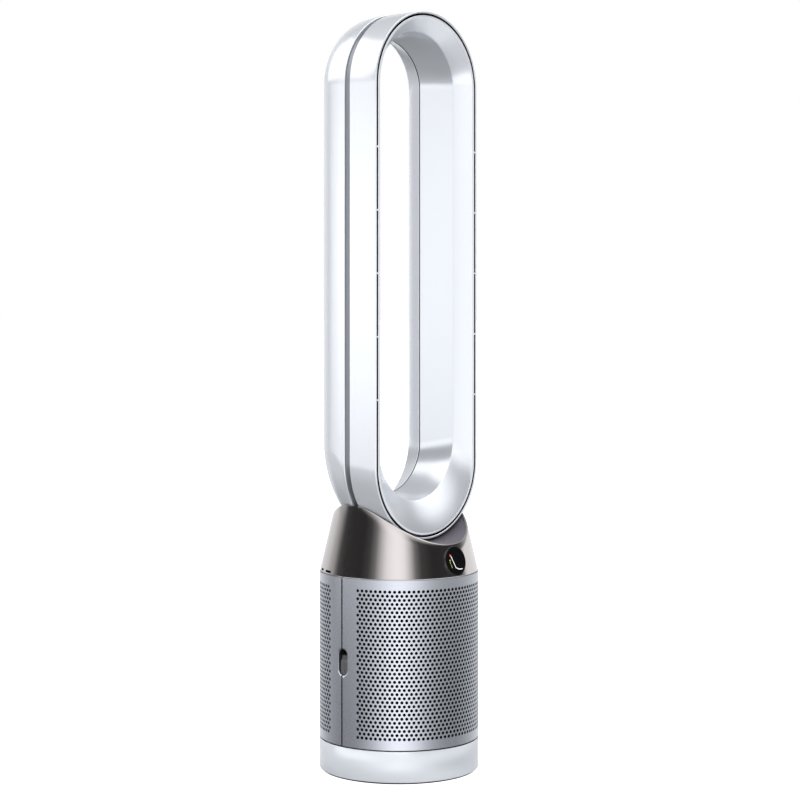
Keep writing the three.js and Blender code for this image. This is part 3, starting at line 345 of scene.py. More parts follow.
def draw_outline(piece: bpy.types.Object, profile: Profile, filled: bool = False) -> None:
    """Draws a closed outline of (radius, height) points, in millimetres, in the XZ plane and selects it."""
    shape = bmesh.from_edit_mesh(piece.data)
    corners = [shape.verts.new((radius * MM, 0, height * MM)) for radius, height in profile]
    for first, second in zip(corners, corners[1:] + corners[:1]):
        shape.edges.new((first, second))
    if filled:
        shape.faces.new(corners)
    bmesh.update_edit_mesh(piece.data)
    bpy.ops.mesh.select_all(action="SELECT")


def join_rows(shape: bmesh.types.BMesh, rows: Sequence[Sequence[bmesh.types.BMVert]],
              capped: bool = False) -> None:
    """Joins each row of vertices, a closed outline, to the next, and closes both ends if they are capped."""
    for first, second in zip(rows, rows[1:]):
        for j, corner in enumerate(first):
            k = (j + 1) % len(first)
            shape.faces.new((corner, first[k], second[k], second[j]))
    if capped:
        shape.faces.new(rows[0])
        shape.faces.new(rows[-1])


def lathe(name: str, profile: Profile, steps: int = 160, sharp: float = 30.0) -> bpy.types.Object:
    """Spins a closed outline all the way round the Z axis.

    Args:
        name: Name of the piece.
        profile: (radius, height) points in millimetres.
        steps: Segments round the axis.
        sharp: Edges sharper than this many degrees stay sharp.

    Returns:
        The finished piece.
    """
    piece = start_piece(name)
    draw_outline(piece, profile)
    bpy.ops.mesh.spin(steps=steps, angle=FULL_TURN, center=(0, 0, 0), axis=(0, 0, 1))
    return end_piece(piece, sharp)


def bearing_point(radius: float, bearing: float, height: float) -> Vector:
    """A point, in millimetres, at a bearing in degrees: 0 is the front and 90 the right side."""
    turn = math.radians(bearing)
    return Vector((radius * math.sin(turn), -radius * math.cos(turn), height)) * MM


def arc_piece(name: str, profile: Profile, start: float, end: float, steps: int = 90) -> bpy.types.Object:
    """Spins a closed outline between two bearings and closes its ends.

    Args:
        name: Name of the piece.
        profile: (radius, height) points in millimetres.
        start: First bearing in degrees.
        end: Last bearing in degrees.
        steps: Segments between them.

    Returns:
        The finished piece.
    """
    piece = start_piece(name)
    shape = bmesh.from_edit_mesh(piece.data)
    rows = []
    for i in range(steps + 1):
        bearing = start + (end - start) * i / steps
        rows.append([shape.verts.new(bearing_point(r, bearing, z)) for r, z in profile])
    join_rows(shape, rows, capped=True)
    bmesh.update_edit_mesh(piece.data)
    return end_piece(piece)


def apply_boolean(piece: bpy.types.Object, tool: bpy.types.Object, operation: str = "DIFFERENCE") -> None:
    """Cuts or joins a piece with a tool, which is removed; the cut takes the tool's finish if it has one."""
    make_active(piece)
    change = piece.modifiers.new("cut", "BOOLEAN")
    change.operation = operation
    change.solver = "EXACT"
    if tool.data.materials:
        change.material_mode = "TRANSFER"
    change.object = tool
    bpy.ops.object.modifier_apply(modifier=change.name)
    bpy.data.objects.remove(tool)
    bpy.ops.object.shade_smooth_by_angle(angle=math.radians(30))


def apply_bevel(piece: bpy.types.Object, width: float, segments: int = 2, angle: float = 40.0) -> None:
    """Rounds every edge sharper than an angle, by a width in millimetres."""
    make_active(piece)
    change = piece.modifiers.new("edges", "BEVEL")
    change.width = width * MM
    change.segments = segments
    change.limit_method = "ANGLE"
    change.angle_limit = math.radians(angle)
    bpy.ops.object.modifier_apply(modifier=change.name)
    bpy.ops.object.shade_smooth_by_angle(angle=math.radians(35))


def block(name: str, low: Sequence[float], high: Sequence[float], bevel: float = 0.0) -> bpy.types.Object:
    """A box between two corners in millimetres, with rounded edges if a bevel is given."""
    piece = start_piece(name)
    bpy.ops.mesh.primitive_cube_add(size=1)
    middle = [(a + b) / 2 * MM for a, b in zip(low, high)]
    bpy.ops.transform.resize(value=[(b - a) * MM for a, b in zip(low, high)], center_override=(0, 0, 0))
    bpy.ops.transform.translate(value=middle)
    end_piece(piece)
    if bevel:
        apply_bevel(piece, bevel)
    return piece


def join_pieces(first: bpy.types.Object, *others: bpy.types.Object) -> bpy.types.Object:
    """Joins objects into the first one, keeping each closed."""
    make_active(first)
    for piece in others:
        piece.select_set(True)
    bpy.ops.object.join()
    return first


def finish_faces(piece: bpy.types.Object, finish: Finish,
                 wanted: Callable[[Vector, Vector], bool]) -> None:
    """Gives a second finish to the faces whose middle and normal are wanted."""
    piece.data.materials.append(finish.material())
    for face in piece.data.polygons:
        if wanted(face.center, face.normal):
            face.material_index = len(piece.data.materials) - 1


def dress(piece: bpy.types.Object, finish: Finish, body: str, slot: str, *nodes: str) -> bpy.types.Object:
    """Gives a piece its finish, its body and the solids that it stands for."""
    if not any(piece.data.materials):
        piece.data.materials.clear()
        piece.data.materials.append(finish.material())
    if nodes:
        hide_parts(*nodes)
    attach(piece, body)
    LOG.info("%s: %d faces on %s", piece.name, len(piece.data.polygons), body)
    return piece


# ---------------------------------------------------------------- air loop


@dataclass(frozen=True)
class Oval:
    """A closed oval in a plane square to Y: two half rounds joined by straight sides.

    Attributes:
        y: Where the plane lies.
        side: How far the straight sides lie inside the loop's outer face.
        top: The same at the top.
        bottom: The same at the foot.
        top_shift: How far the centre of the upper round is raised.
        bottom_shift: How far the centre of the lower round is raised.
    """

    y: float
    side: float
    top: float
    bottom: float
    top_shift: float = 0.0
    bottom_shift: float = 0.0

    def inset(self, depth: float) -> "Oval":
        """The same oval further in."""
        return replace(self, side=self.side + depth, top=self.top + depth, bottom=self.bottom + depth)

    def at(self, y: float) -> "Oval":
        """The same oval in another plane."""
        return replace(self, y=y)

    def mixed(self, other: "Oval", share: float) -> "Oval":
        """The oval a share of the way to another one."""
        return Oval(*(a + (b - a) * share for a, b in zip(astuple(self), astuple(other))))


def flowing(ovals: Sequence[Oval], steps: int) -> list[Oval]:
    """Ovals that run smoothly through the given ones, with a number of steps between each two."""
    points = [astuple(oval) for oval in ovals]
    padded = [points[0], *points, points[-1]]
    result = []
    for p, q, r, s in zip(padded, padded[1:], padded[2:], padded[3:]):
        for i in range(steps):
            t = i / steps
            result.append(Oval(*(
                0.5 * (2 * b + (c - a) * t + (2 * a - 5 * b + 4 * c - d) * t**2
                       + (3 * b - a - 3 * c + d) * t**3)
                for a, b, c, d in zip(p, q, r, s)
            )))
    return [*result, ovals[-1]]


@dataclass
class AirLoop:
    """The tall loop: front shell, inner wall with the air slot's inner ring, rear shell and groove band."""

    height: float = 1054.0
    half_width: float = 104.0
    foot: float = 323.0
    front: float = -54.0
    rear: float = 61.0
    wall: float = 2.0
    rim_round: float = 1.3
    rim_width: float = 2.8
    slot_width: float = 3.0
    slot_depth: float = 14.0
    ring_width: float = 3.2
    band_front: float = -4.0
    band_rear: float = 6.0
    band_lap: float = 4.0
    band_depth: float = 2.3
    edge: float = 0.6
    seam_width: float = 1.8
    web_height: float = 2.4
    web_heights: tuple[float, ...] = (519.6, 605.35, 691.1, 776.85, 862.6)
    throat: Oval = Oval(-32.6, 26.7, 27.3, 52.4, 0.0, 34.1)
    inner_seam: Oval = Oval(35.1, 23.6, 29.9, 54.6, 5.7, 20.4)
    rear_lip: Oval = Oval(58.0, 18.5, 21.0, 37.0, 3.0, 29.0)
    band_oval: Oval = Oval(-4.0, 0.8, 0.8, 0.0, 0.0, 4.5)
    segments: int = 192

    def outer_rear(self) -> list[Oval]:
        """The rear shell's outer face, from the groove to the rear edge."""
        return [
            self.band_oval.at(self.band_rear + self.edge),
            self.band_oval.at(self.band_rear + self.band_lap + 0.3),
            Oval(self.rear - 41, 1.2, 1.2, 0.5, 0, 14),
            Oval(self.rear - 23, 3.6, 3.6, 4, 0, 26),
            Oval(self.rear - 11, 8, 8, 12, 0, 31),
            Oval(self.rear - 3, 13.5, 13.5, 23, 0, 31),
            Oval(self.rear, 17, 17, 31, 0, 31),
        ]

    def place(self, oval: Oval) -> tuple[float, float, float, float, float]:
        """Half width, then the centre and rise of the upper round and of the lower round, in metres."""
        high = self.height - self.half_width + oval.top_shift
        low = self.foot + self.half_width + oval.bottom_shift
        rise = self.height - oval.top - high
        drop = low - self.foot - oval.bottom
        return tuple(value * MM for value in (self.half_width - oval.side, high, rise, low, drop))

    def first_ring(self, piece: bpy.types.Object, oval: Oval) -> set[int]:
        """Draws an oval from a circle cut in two half rounds, and returns its vertices."""
        half_width, high, rise, low, drop = self.place(oval)
        bpy.ops.mesh.primitive_circle_add(vertices=self.segments, radius=1, rotation=(math.pi / 2, 0, 0))
        pick(piece, lambda co: co.z < -1e-5)
        bpy.ops.mesh.delete(type="VERT")
        bpy.ops.mesh.select_all(action="SELECT")
        bpy.ops.mesh.duplicate()
        bpy.ops.transform.resize(value=(half_width, 1, -drop), center_override=(0, 0, 0))
        bpy.ops.transform.translate(value=(0, oval.y * MM, low))
        bpy.ops.mesh.select_all(action="INVERT")
        bpy.ops.transform.resize(value=(half_width, 1, rise), center_override=(0, 0, 0))
        bpy.ops.transform.translate(value=(0, oval.y * MM, high))
        for side in (-1, 1):
            pick(piece, lambda co: abs(co.x - side * half_width) < 1e-6)
            bpy.ops.mesh.edge_face_add()
        bpy.ops.mesh.select_all(action="SELECT")
        return selected(piece)

    def next_ring(self, piece: bpy.types.Object, old: Oval, new: Oval) -> set[int]:
        """Extrudes the selected oval to the next one, and returns the new vertices."""
        bpy.ops.mesh.extrude_edges_indiv()
        ring = selected(piece)
        half_old, high_old, rise_old, low_old, drop_old = self.place(old)
        half_new, high_new, rise_new, low_new, drop_new = self.place(new)
        middle = (high_old + low_old) / 2
        halves = (
            (lambda co: co.z > middle, high_old, high_new, rise_new / rise_old),
            (lambda co: co.z <= middle, low_old, low_new, drop_new / drop_old),
        )
        step = (new.y - old.y) * MM
        for wanted, centre_old, centre_new, growth in halves:
            pick(piece, wanted, ring)
            bpy.ops.transform.resize(
                value=(half_new / half_old, 1, growth), center_override=(0, old.y * MM, centre_old)
            )
            bpy.ops.transform.translate(value=(0, step, centre_new - centre_old))
        pick(piece, lambda co: True, ring)
        return ring

    def skin(self, name: str, ovals: Sequence[Oval], capped: bool = False) -> bpy.types.Object:
        """Skins a row of ovals, and closes the last on the first or caps both.

        Args:
            name: Name of the piece.
            ovals: The ovals in order round the wall's section.
            capped: True for a full block.

        Returns:
            The finished piece.
        """
        piece = start_piece(name)
        first = last = self.first_ring(piece, ovals[0])
        for old, new in zip(ovals, ovals[1:]):
            last = self.next_ring(piece, old, new)
        if capped:
            bpy.ops.mesh.edge_face_add()
            pick(piece, lambda co: True, first)
            bpy.ops.mesh.edge_face_add()
        else:
            pick(piece, lambda co: True, first | last)
            bpy.ops.mesh.bridge_edge_loops()
        return end_piece(piece, 24)

    def block(self, name: str, clearance: float) -> bpy.types.Object:
        """The whole outside as a block, larger by a clearance, for cutting what the loop stands in."""
        front = [Oval(self.front, 0, 0, 0), Oval(self.front + 1, 0, 0, 0), self.band_oval]
        ovals = [oval.inset(-clearance) for oval in (*front, *flowing(self.outer_rear(), 3))]
        ovals[0] = ovals[0].at(self.front - clearance)
        return self.skin(name, ovals, capped=True)

    def front_shell(self) -> bpy.types.Object:
        """The outer front shell, from the air slot's outer lip back to the groove."""
        start = Oval(self.front, 0, 0, 0)
        turns = [math.radians(90 - 22.5 * i) for i in range(5)]
        rounded = [
            start.inset(self.rim_round * (1 - math.cos(turn)))
            .at(self.front + self.rim_round * (1 - math.sin(turn)))
            for turn in turns
        ]
        groove = self.band_oval.at(self.band_front)
        floor = self.front + self.slot_depth
        ovals = [
            *rounded,
            groove.at(self.band_front - self.edge),
            groove.inset(self.edge),
            groove.inset(self.wall),
            start.inset(self.wall).at(floor),
            start.inset(self.rim_width).at(floor),
            start.inset(self.rim_width).at(self.front + 0.4),
            start.inset(self.rim_width - 0.4),
        ]
        return self.skin("loop_front_shell_skin", ovals)

    def inner_wall(self) -> bpy.types.Object:
        """The wall that the air runs along, from the slot's inner ring back to the seam."""
        slot_inner = self.rim_width + self.slot_width
        ring_inner = slot_inner + self.ring_width
        start = Oval(self.front, 0, 0, 0)
        floor = self.front + self.slot_depth
        seam = self.inner_seam.at(self.inner_seam.y - self.seam_width / 2)
        corner = start.inset(ring_inner)
        ovals = [
            start.inset(slot_inner).at(self.front + 0.4),
            start.inset(slot_inner + 0.4),
            start.inset(ring_inner - 0.5),
            corner.mixed(self.throat, 0.03).at(self.front + 0.5),
            corner.mixed(self.throat, 0.5),
            corner.mixed(self.throat, 0.92),
            self.throat.mixed(seam, 0.004).inset(-0.25),
            self.throat.mixed(seam, 0.03),
            self.throat.mixed(seam, 0.5),
            seam.at(seam.y - 0.5),
            seam.inset(-0.4),
            seam.inset(-self.wall),
            self.throat.inset(-self.wall).at(self.throat.y + self.wall / 2),
            start.inset(ring_inner - self.wall / 2).at(self.front + 1.5 * self.wall),
            start.inset(slot_inner + self.wall / 2).at(floor),
            start.inset(slot_inner).at(floor),
        ]
        wall = self.skin("loop_inner_wall_skin", ovals)
        return join_pieces(wall, *self.webs(slot_inner))

    def webs(self, slot_inner: float) -> list[bpy.types.Object]:
        """The small bridges across the slot on both straight sides."""
        near = self.half_width - slot_inner - self.wall / 4
        far = self.half_width - self.rim_width - 0.15
        made = []
        for height in self.web_heights:
            for side in (-1, 1):
                xs = sorted((side * near, side * far))
                low = (xs[0], self.front + 0.3, height - self.web_height / 2)
                high = (xs[1], self.front + self.slot_depth - 2, height + self.web_height / 2)
                made.append(block(f"web_{height}_{side}", low, high, 0.3))
        return made

    def rear_shell(self) -> bpy.types.Object:
        """The rear shell, from the groove round the rear edge and in to the seam."""
        outside = flowing(self.outer_rear(), 4)
        seam = self.inner_seam.at(self.inner_seam.y + self.seam_width / 2)
        deepest = self.rear - 3 - self.wall
        inside = [oval.inset(self.wall).at(min(oval.y, deepest)) for oval in outside[-4::-4]]
        groove = self.band_oval.at(self.band_rear)
        ovals = [
            groove.inset(self.edge),
            *outside,
            self.rear_lip.mixed(outside[-1], 0.55).at(self.rear - 0.2),
            self.rear_lip.at(self.rear - 1.4),
            self.rear_lip.mixed(seam, 0.1),
            self.rear_lip.mixed(seam, 0.5),
            seam.at(seam.y + 0.5),
            seam.inset(-0.4),
            seam.inset(-self.wall),
            *inside,
            groove.inset(self.wall),
        ]
        return self.skin("loop_rear_shell_skin", ovals)

    def groove_band(self) -> bpy.types.Object:
        """The recessed band at the bottom of the groove."""
        outer = self.band_oval.inset(self.band_depth)
        ends = (self.band_front - self.band_lap, self.band_rear + self.band_lap)
        ovals = [outer.at(ends[0]), outer.at(ends[1])]
        ovals += [oval.inset(self.wall) for oval in reversed(ovals)]
        return self.skin("loop_groove_band_skin", ovals)

    def build(self) -> None:
        """Builds and dresses the whole loop; the faces inside the slot and the seam take the dark finish as
        painted shade.
        """
        front, inner, rear = self.front_shell(), self.inner_wall(), self.rear_shell()
        for piece in (front, inner, rear):
            piece.data.materials.append(PALETTE.white.material())
        rim_end = (self.front + 0.45) * MM
        slot_end = (self.half_width - self.rim_width - self.slot_width + 0.3) * MM
        lip = (self.seam_width / 2 + 0.05) * MM
        seam = self.inner_seam.y * MM
        # Painted shade: the faces inside the air slot and on the seam's walls take the dark finish.
        finish_faces(front, PALETTE.dark, lambda centre, normal: centre.y > rim_end
                     and not self.faces_out(centre, normal))
        finish_faces(inner, PALETTE.dark, lambda centre, normal: rim_end < centre.y
                     and abs(centre.x) < slot_end
                     and (self.faces_out(centre, normal) or centre.y > seam - lip))
        finish_faces(rear, PALETTE.dark, lambda centre, normal: abs(centre.y - seam) < lip
                     and abs(normal.y) > 0.7)
        dress(front, PALETTE.white, "column", "white", "loop_front_shell")
        dress(inner, PALETTE.white, "column", "white", "loop_inner_wall")
        dress(rear, PALETTE.white, "column", "white", "loop_rear_shell")
        dress(self.groove_band(), PALETTE.band, "column", "silver", "loop_groove_band")

    def faces_out(self, centre: Vector, normal: Vector) -> bool:
        """True where a face looks away from the loop's middle line."""
        high = (self.height - self.half_width) * MM
        low = (self.foot + self.half_width) * MM
        spine = Vector((0, centre.y, min(max(centre.z, low), high)))
        return (centre - spine).normalized().dot(normal) > 0.05


# ---------------------------------------------------------------- base


@dataclass
class Base:
    """The white base band, its foot and the gland of the cord."""

    radius: float = 111.0
    wall: float = 2.5
    top: float = 44.5
    bottom: float = 2.0
    edge: float = 0.7
    ledge_top: float = 39.6
    ledge_height: float = 3.0
    ledge_width: float = 4.0
    foot_outer: float = 108.0
    foot_width: float = 12.0
    foot_height: float = 1.5
    gland_radius: float = 6.0
    gland_bore: float = 3.5
    gland_height: float = 14.0

    def band(self) -> bpy.types.Object:
        """The white band with rounded edges and the inlet of the cord."""
        r, e = self.radius, self.edge
        inner = r - self.wall
        ledge = inner - self.ledge_width
        ledge_bottom = self.ledge_top - self.ledge_height
        piece = lathe("base_band", [
            (r - 2.2 * e, self.bottom), (r - e, self.bottom + 0.3), (r - 0.3 * e, self.bottom + 0.9),
            (r, self.bottom + 2 * e), (r, self.top - e), (r - 0.3 * e, self.top - 0.3 * e), (r - e, self.top),
            (inner, self.top), (inner, self.ledge_top), (ledge, self.ledge_top), (ledge, ledge_bottom),
            (inner, ledge_bottom - self.ledge_width), (inner, self.bottom),
        ], 224)
        hole = start_piece("inlet")
        bpy.ops.mesh.primitive_cylinder_add(
            vertices=48, radius=(self.gland_radius + 0.3) * MM, depth=12 * MM,
            location=(0, (r - 1) * MM, self.gland_height * MM), rotation=(math.pi / 2, 0, 0),
        )
        end_piece(hole)
        apply_boolean(piece, hole)
        piece.data.materials.append(PALETTE.base_white.material())
        # Painted shade: the band's upward faces take the dark finish, so the seam under the shroud reads
        # black.
        finish_faces(piece, PALETTE.dark, lambda centre, normal: normal.z > 0.9)
        return piece

    def foot(self) -> bpy.types.Object:
        """The rubber ring, with two fine grooves in its sole."""
        outer, inner = self.foot_outer, self.foot_outer - self.foot_width
        top = self.foot_height
        groove_width, groove_depth = 0.8, 0.5
        grooves = []
        for near in (inner + 2.4, inner + 4.9):
            far = near + groove_width
            grooves += [(near, 0), (near, groove_depth), (far, groove_depth), (far, 0)]
        profile = [(inner, top), (inner, 0.3), (inner + 0.3, 0), *grooves, (outer - 0.3, 0), (outer, 0.3),
                   (outer, top)]
        return lathe("foot_ring_moulded", profile, 192)

    def gland(self) -> bpy.types.Object:
        """The ribbed cord gland in the rear of the base."""
        rear, length = self.radius - 0.8, 12.0
        ribs = []
        for i in range(5):
            y = rear - length + 2.2 * i
            ribs += [(self.gland_radius - 0.5, y), (self.gland_radius, y + 0.4), (self.gland_radius, y + 1.5),
                     (self.gland_radius - 0.5, y + 1.9)]
        profile = [(self.gland_bore, rear - length), *ribs, (self.gland_radius, rear - 0.8),
                   (self.gland_radius - 0.8, rear), (self.gland_bore, rear)]
        piece = start_piece("cord_gland_ribbed")
        draw_outline(piece, profile)
        bpy.ops.mesh.spin(steps=48, angle=FULL_TURN, center=(0, 0, 0), axis=(0, 0, 1))
        bpy.ops.mesh.select_all(action="SELECT")
        bpy.ops.transform.rotate(value=math.pi / 2, orient_axis="X", center_override=(0, 0, 0))
        ys = [vertex.co.y for vertex in bmesh.from_edit_mesh(piece.data).verts]
        if max(ys) < 0:
            bpy.ops.transform.rotate(value=math.pi, orient_axis="X", center_override=(0, 0, 0))
        bpy.ops.transform.translate(value=(0, 0, self.gland_height * MM))
        return end_piece(piece)

    def build(self) -> None:
        """Builds and dresses the base."""
        dress(self.band(), PALETTE.base_white, "base", "white", "base_ring")
        dress(self.foot(), PALETTE.rubber, "base", "rubber", "foot_ring")
        dress(self.gland(), PALETTE.rubber, "base", "rubber", "cord_gland")


# ---------------------------------------------------------------- column


@dataclass
class Shroud:
    """The perforated half shells of the column.

    The sheet is modelled flat, one hole cell repeated, then wrapped round the axis. Its seams lie a
    little behind the sides, by the lag in degrees, as the photograph shows.
    """

    radius: float = 111.0
    wall: float = 1.5
    bottom: float = 46.0
    top: float = 275.4
    seam: float = 2.4
    lag: float = 1.5
    recess_lead: float = 0.8
    columns: int = 45
    rows: int = 37
    first_row: float = 61.0
    row_pitch: float = 5.533
    hole: float = 2.2
    bearing_pitch: float = 3.4
    margin_steps: int = 9
    recess_half_width: float = 8.75
    recess_bottom: float = 142.0
    recess_top: float = 178.0
    flare: float = 0.7
    lip_bottoms: tuple[float, float] = (50.0, 266.4)
    lip_height: float = 1.2
    lip_depth: float = 3.2

    def column_pitch(self) -> float:
        """Distance from hole to hole along a row."""
        return math.radians(self.bearing_pitch) * self.radius

    def cell(self) -> bpy.types.Object:
        """One brick-shaped cell of the sheet: the rim of a round hole, drawn out to the brick's edges."""
        piece = start_piece("shroud_sheet")
        radius = self.hole * MM
        bpy.ops.mesh.primitive_circle_add(vertices=12, radius=radius, rotation=(math.pi / 2, 0, 0))
        bpy.ops.mesh.extrude_edges_indiv()
        for vertex in bmesh.from_edit_mesh(piece.data).verts:
            if vertex.select:
                side, rise = vertex.co.x / radius, vertex.co.z / radius
                side = math.copysign(1, side) if abs(side) > 0.8 else side
                rise = math.copysign(1, rise) if abs(rise) > 0.4 else 0.0
                vertex.co = Vector((side * self.column_pitch(), 0, rise * self.row_pitch)) * MM / 2
        bmesh.update_edit_mesh(piece.data)
        bpy.ops.mesh.select_all(action="SELECT")
        bpy.ops.mesh.normals_make_consistent(inside=False)
        bpy.ops.object.mode_set(mode="OBJECT")
        return piece

    def repeat(self, piece: bpy.types.Object, count: int, step: Sequence[float]) -> None:
        """Applies an array of a count with a step in metres."""
        change = piece.modifiers.new("repeat", "ARRAY")
        change.count = count
        change.use_relative_offset = False
        change.use_constant_offset = True
        change.constant_offset_displace = step
        change.use_merge_vertices = True
        change.merge_threshold = 1e-5
        bpy.ops.object.modifier_apply(modifier=change.name)

    def sheet(self) -> bpy.types.Object:
        """The flat perforated sheet, with its plain margins."""
        piece = self.cell()
        pitch = self.column_pitch() * MM
        height = self.row_pitch * MM
        self.repeat(piece, self.columns, (pitch, 0, 0))
        bpy.ops.object.mode_set(mode="EDIT")
        bpy.ops.mesh.select_all(action="SELECT")
        width = pitch * (self.columns + 0.5)
        bpy.ops.transform.translate(value=((pitch - width) / 2, 0, self.first_row * MM))
        bpy.ops.object.mode_set(mode="OBJECT")
        self.repeat(piece, 2, (pitch / 2, 0, height))
        self.repeat(piece, (self.rows + 1) // 2, (0, 0, 2 * height))
        bpy.ops.object.mode_set(mode="EDIT")
        cut = (self.first_row + (self.rows - 0.5) * self.row_pitch) * MM
        pick(piece, lambda co: co.z > cut + 1e-5)
        bpy.ops.mesh.delete(type="VERT")
        bpy.ops.mesh.select_all(action="SELECT")
        bpy.ops.mesh.remove_doubles(threshold=1e-5)
        self.margins(piece, width)
        bpy.ops.mesh.select_all(action="SELECT")
        bpy.ops.mesh.remove_doubles(threshold=1e-6)
        bpy.ops.mesh.normals_make_consistent(inside=False)
        return piece

    def pick_border(self, piece: bpy.types.Object, wanted: Callable[[Vector], bool]) -> None:
        """Selects the open edges whose two ends both lie where they are wanted."""
        shape = bmesh.from_edit_mesh(piece.data)
        shape.select_mode = {"EDGE"}
        for line in shape.edges:
            line.select_set(line.is_boundary and all(wanted(end.co) for end in line.verts))
        bmesh.update_edit_mesh(piece.data)

    def extend(self, piece: bpy.types.Object, wanted: Callable[[Vector], bool],
               step: Sequence[float]) -> None:
        """Draws the open edges at a place out by a step in metres, and merges what meets."""
        self.pick_border(piece, wanted)
        bpy.ops.mesh.extrude_edges_indiv()
        bpy.ops.transform.translate(value=step)
        bpy.ops.mesh.select_all(action="SELECT")
        bpy.ops.mesh.remove_doubles(threshold=1e-5)

    def margins(self, piece: bpy.types.Object, width: float) -> None:
        """Draws the plain strips out to the seams, the top and the bottom.

        Args:
            piece: The perforated sheet in edit mode.
            width: Distance in metres between its outermost brick ends.
        """
        half_cell = self.column_pitch() * MM / 2
        edge = (math.pi * self.radius / 2 - self.seam / 2) * MM
        low = (self.first_row - self.row_pitch / 2) * MM
        high = (self.first_row + (self.rows - 0.5) * self.row_pitch) * MM
        for side in (-1, 1):
            reach = width / 2
            notch = reach - half_cell
            self.extend(piece, lambda co: abs(side * co.x - notch) < 1e-5, (side * half_cell, 0, 0))
            step = (edge - reach) / self.margin_steps
            for _ in range(self.margin_steps):
                self.extend(piece, lambda co: abs(side * co.x - reach) < 1e-5, (side * step, 0, 0))
                reach += step
        self.extend(piece, lambda co: abs(co.z - low) < 1e-5, (0, 0, self.bottom * MM - low))
        self.extend(piece, lambda co: abs(co.z - high) < 1e-5, (0, 0, self.top * MM - high))

    def wrap(self, piece: bpy.types.Object) -> None:
        """Lays the flat sheet round the axis: its width becomes bearing, its depth goes inwards."""
        for vertex in piece.data.vertices:
            turn = vertex.co.x / (self.radius * MM) - math.radians(self.lag)
            radius = self.radius * MM - vertex.co.y
            vertex.co.x = radius * math.sin(turn)
            vertex.co.y = -radius * math.cos(turn)

    def recess_tool(self, side: int) -> bpy.types.Object:
        """A long round-ended block with a flared mouth, for the release button's window."""
        piece = start_piece("recess_tool")
        across = (math.pi / 2 * side + math.radians(self.recess_lead)) * self.radius
        middle = (across * MM, 0, (self.recess_top + self.recess_bottom) / 2 * MM)
        straight = (self.recess_top - self.recess_bottom) / 2 - self.recess_half_width
        bpy.ops.mesh.primitive_circle_add(
            vertices=38, radius=self.recess_half_width * MM, fill_type="NGON", rotation=(math.pi / 2, 0, 0)
        )
        bpy.ops.transform.rotate(value=math.pi / 38, orient_axis="Y", center_override=(0, 0, 0))
        for way in (-1, 1):
            pick(piece, lambda co: way * co.z > 1e-6)
            bpy.ops.transform.translate(value=(0, 0, way * straight * MM))
        bpy.ops.mesh.select_all(action="SELECT")
        bpy.ops.transform.translate(value=(0, (self.wall + 1) * MM, 0))
        growth = 1 + self.flare / self.recess_half_width
        for depth, size in ((1.8, 1.0), (0.5, 1.03), (0.3, growth), (0.6, 1.0)):
            bpy.ops.mesh.extrude_region_move(TRANSFORM_OT_translate={"value": (0, -depth * MM, 0)})
            bpy.ops.transform.resize(value=(size, 1, size), center_override=(0, 0, 0))
        bpy.ops.mesh.select_all(action="SELECT")
        bpy.ops.transform.translate(value=middle)
        return end_piece(piece)

    def lips(self, name: str) -> list[bpy.types.Object]:
        """The two lips inside that hook the shroud on the decks."""
        bevel = 0.3
        root = self.radius - self.wall + bevel
        tip = self.radius - self.wall - self.lip_depth
        made = []
        for i, bottom in enumerate(self.lip_bottoms):
            top = bottom + self.lip_height
            profile = [(tip, bottom + bevel), (tip + bevel, bottom), (root, bottom), (root, top),
                       (tip + bevel, top), (tip, top - bevel)]
            made.append(arc_piece(f"{name}_lip_{i}", profile, -80, 80, 80))
        return made

    def shell(self, name: str) -> bpy.types.Object:
        """The front shroud: the sheet made thick, cut for the buttons, wrapped, with its lips."""
        piece = self.sheet()
        piece.name = name
        bpy.ops.object.mode_set(mode="OBJECT")
        if sum(face.normal.y for face in piece.data.polygons) > 0:
            bpy.ops.object.mode_set(mode="EDIT")
            bpy.ops.mesh.select_all(action="SELECT")
            bpy.ops.mesh.flip_normals()
            bpy.ops.object.mode_set(mode="OBJECT")
        change = piece.modifiers.new("thickness", "SOLIDIFY")
        change.thickness = self.wall * MM
        change.offset = -1
        bpy.ops.object.modifier_apply(modifier=change.name)
        for side in (-1, 1):
            apply_boolean(piece, self.recess_tool(side))
        self.wrap(piece)
        bpy.ops.object.shade_smooth_by_angle(angle=math.radians(30))
        return join_pieces(piece, *self.lips(name))

    def build(self) -> None:
        """Builds both shrouds; the rear one is the front one turned half round."""
        front = self.shell("shroud_front_sheet")
        rear = front.copy()
        rear.data = front.data.copy()
        rear.name = "shroud_rear_sheet"
        bpy.context.scene.collection.objects.link(rear)
        for vertex in rear.data.vertices:
            vertex.co.x, vertex.co.y = -vertex.co.x, -vertex.co.y
        dress(front, PALETTE.silver, "shroud_front", "silver", "shroud_front")
        dress(rear, PALETTE.silver, "shroud_rear", "silver", "shroud_rear")


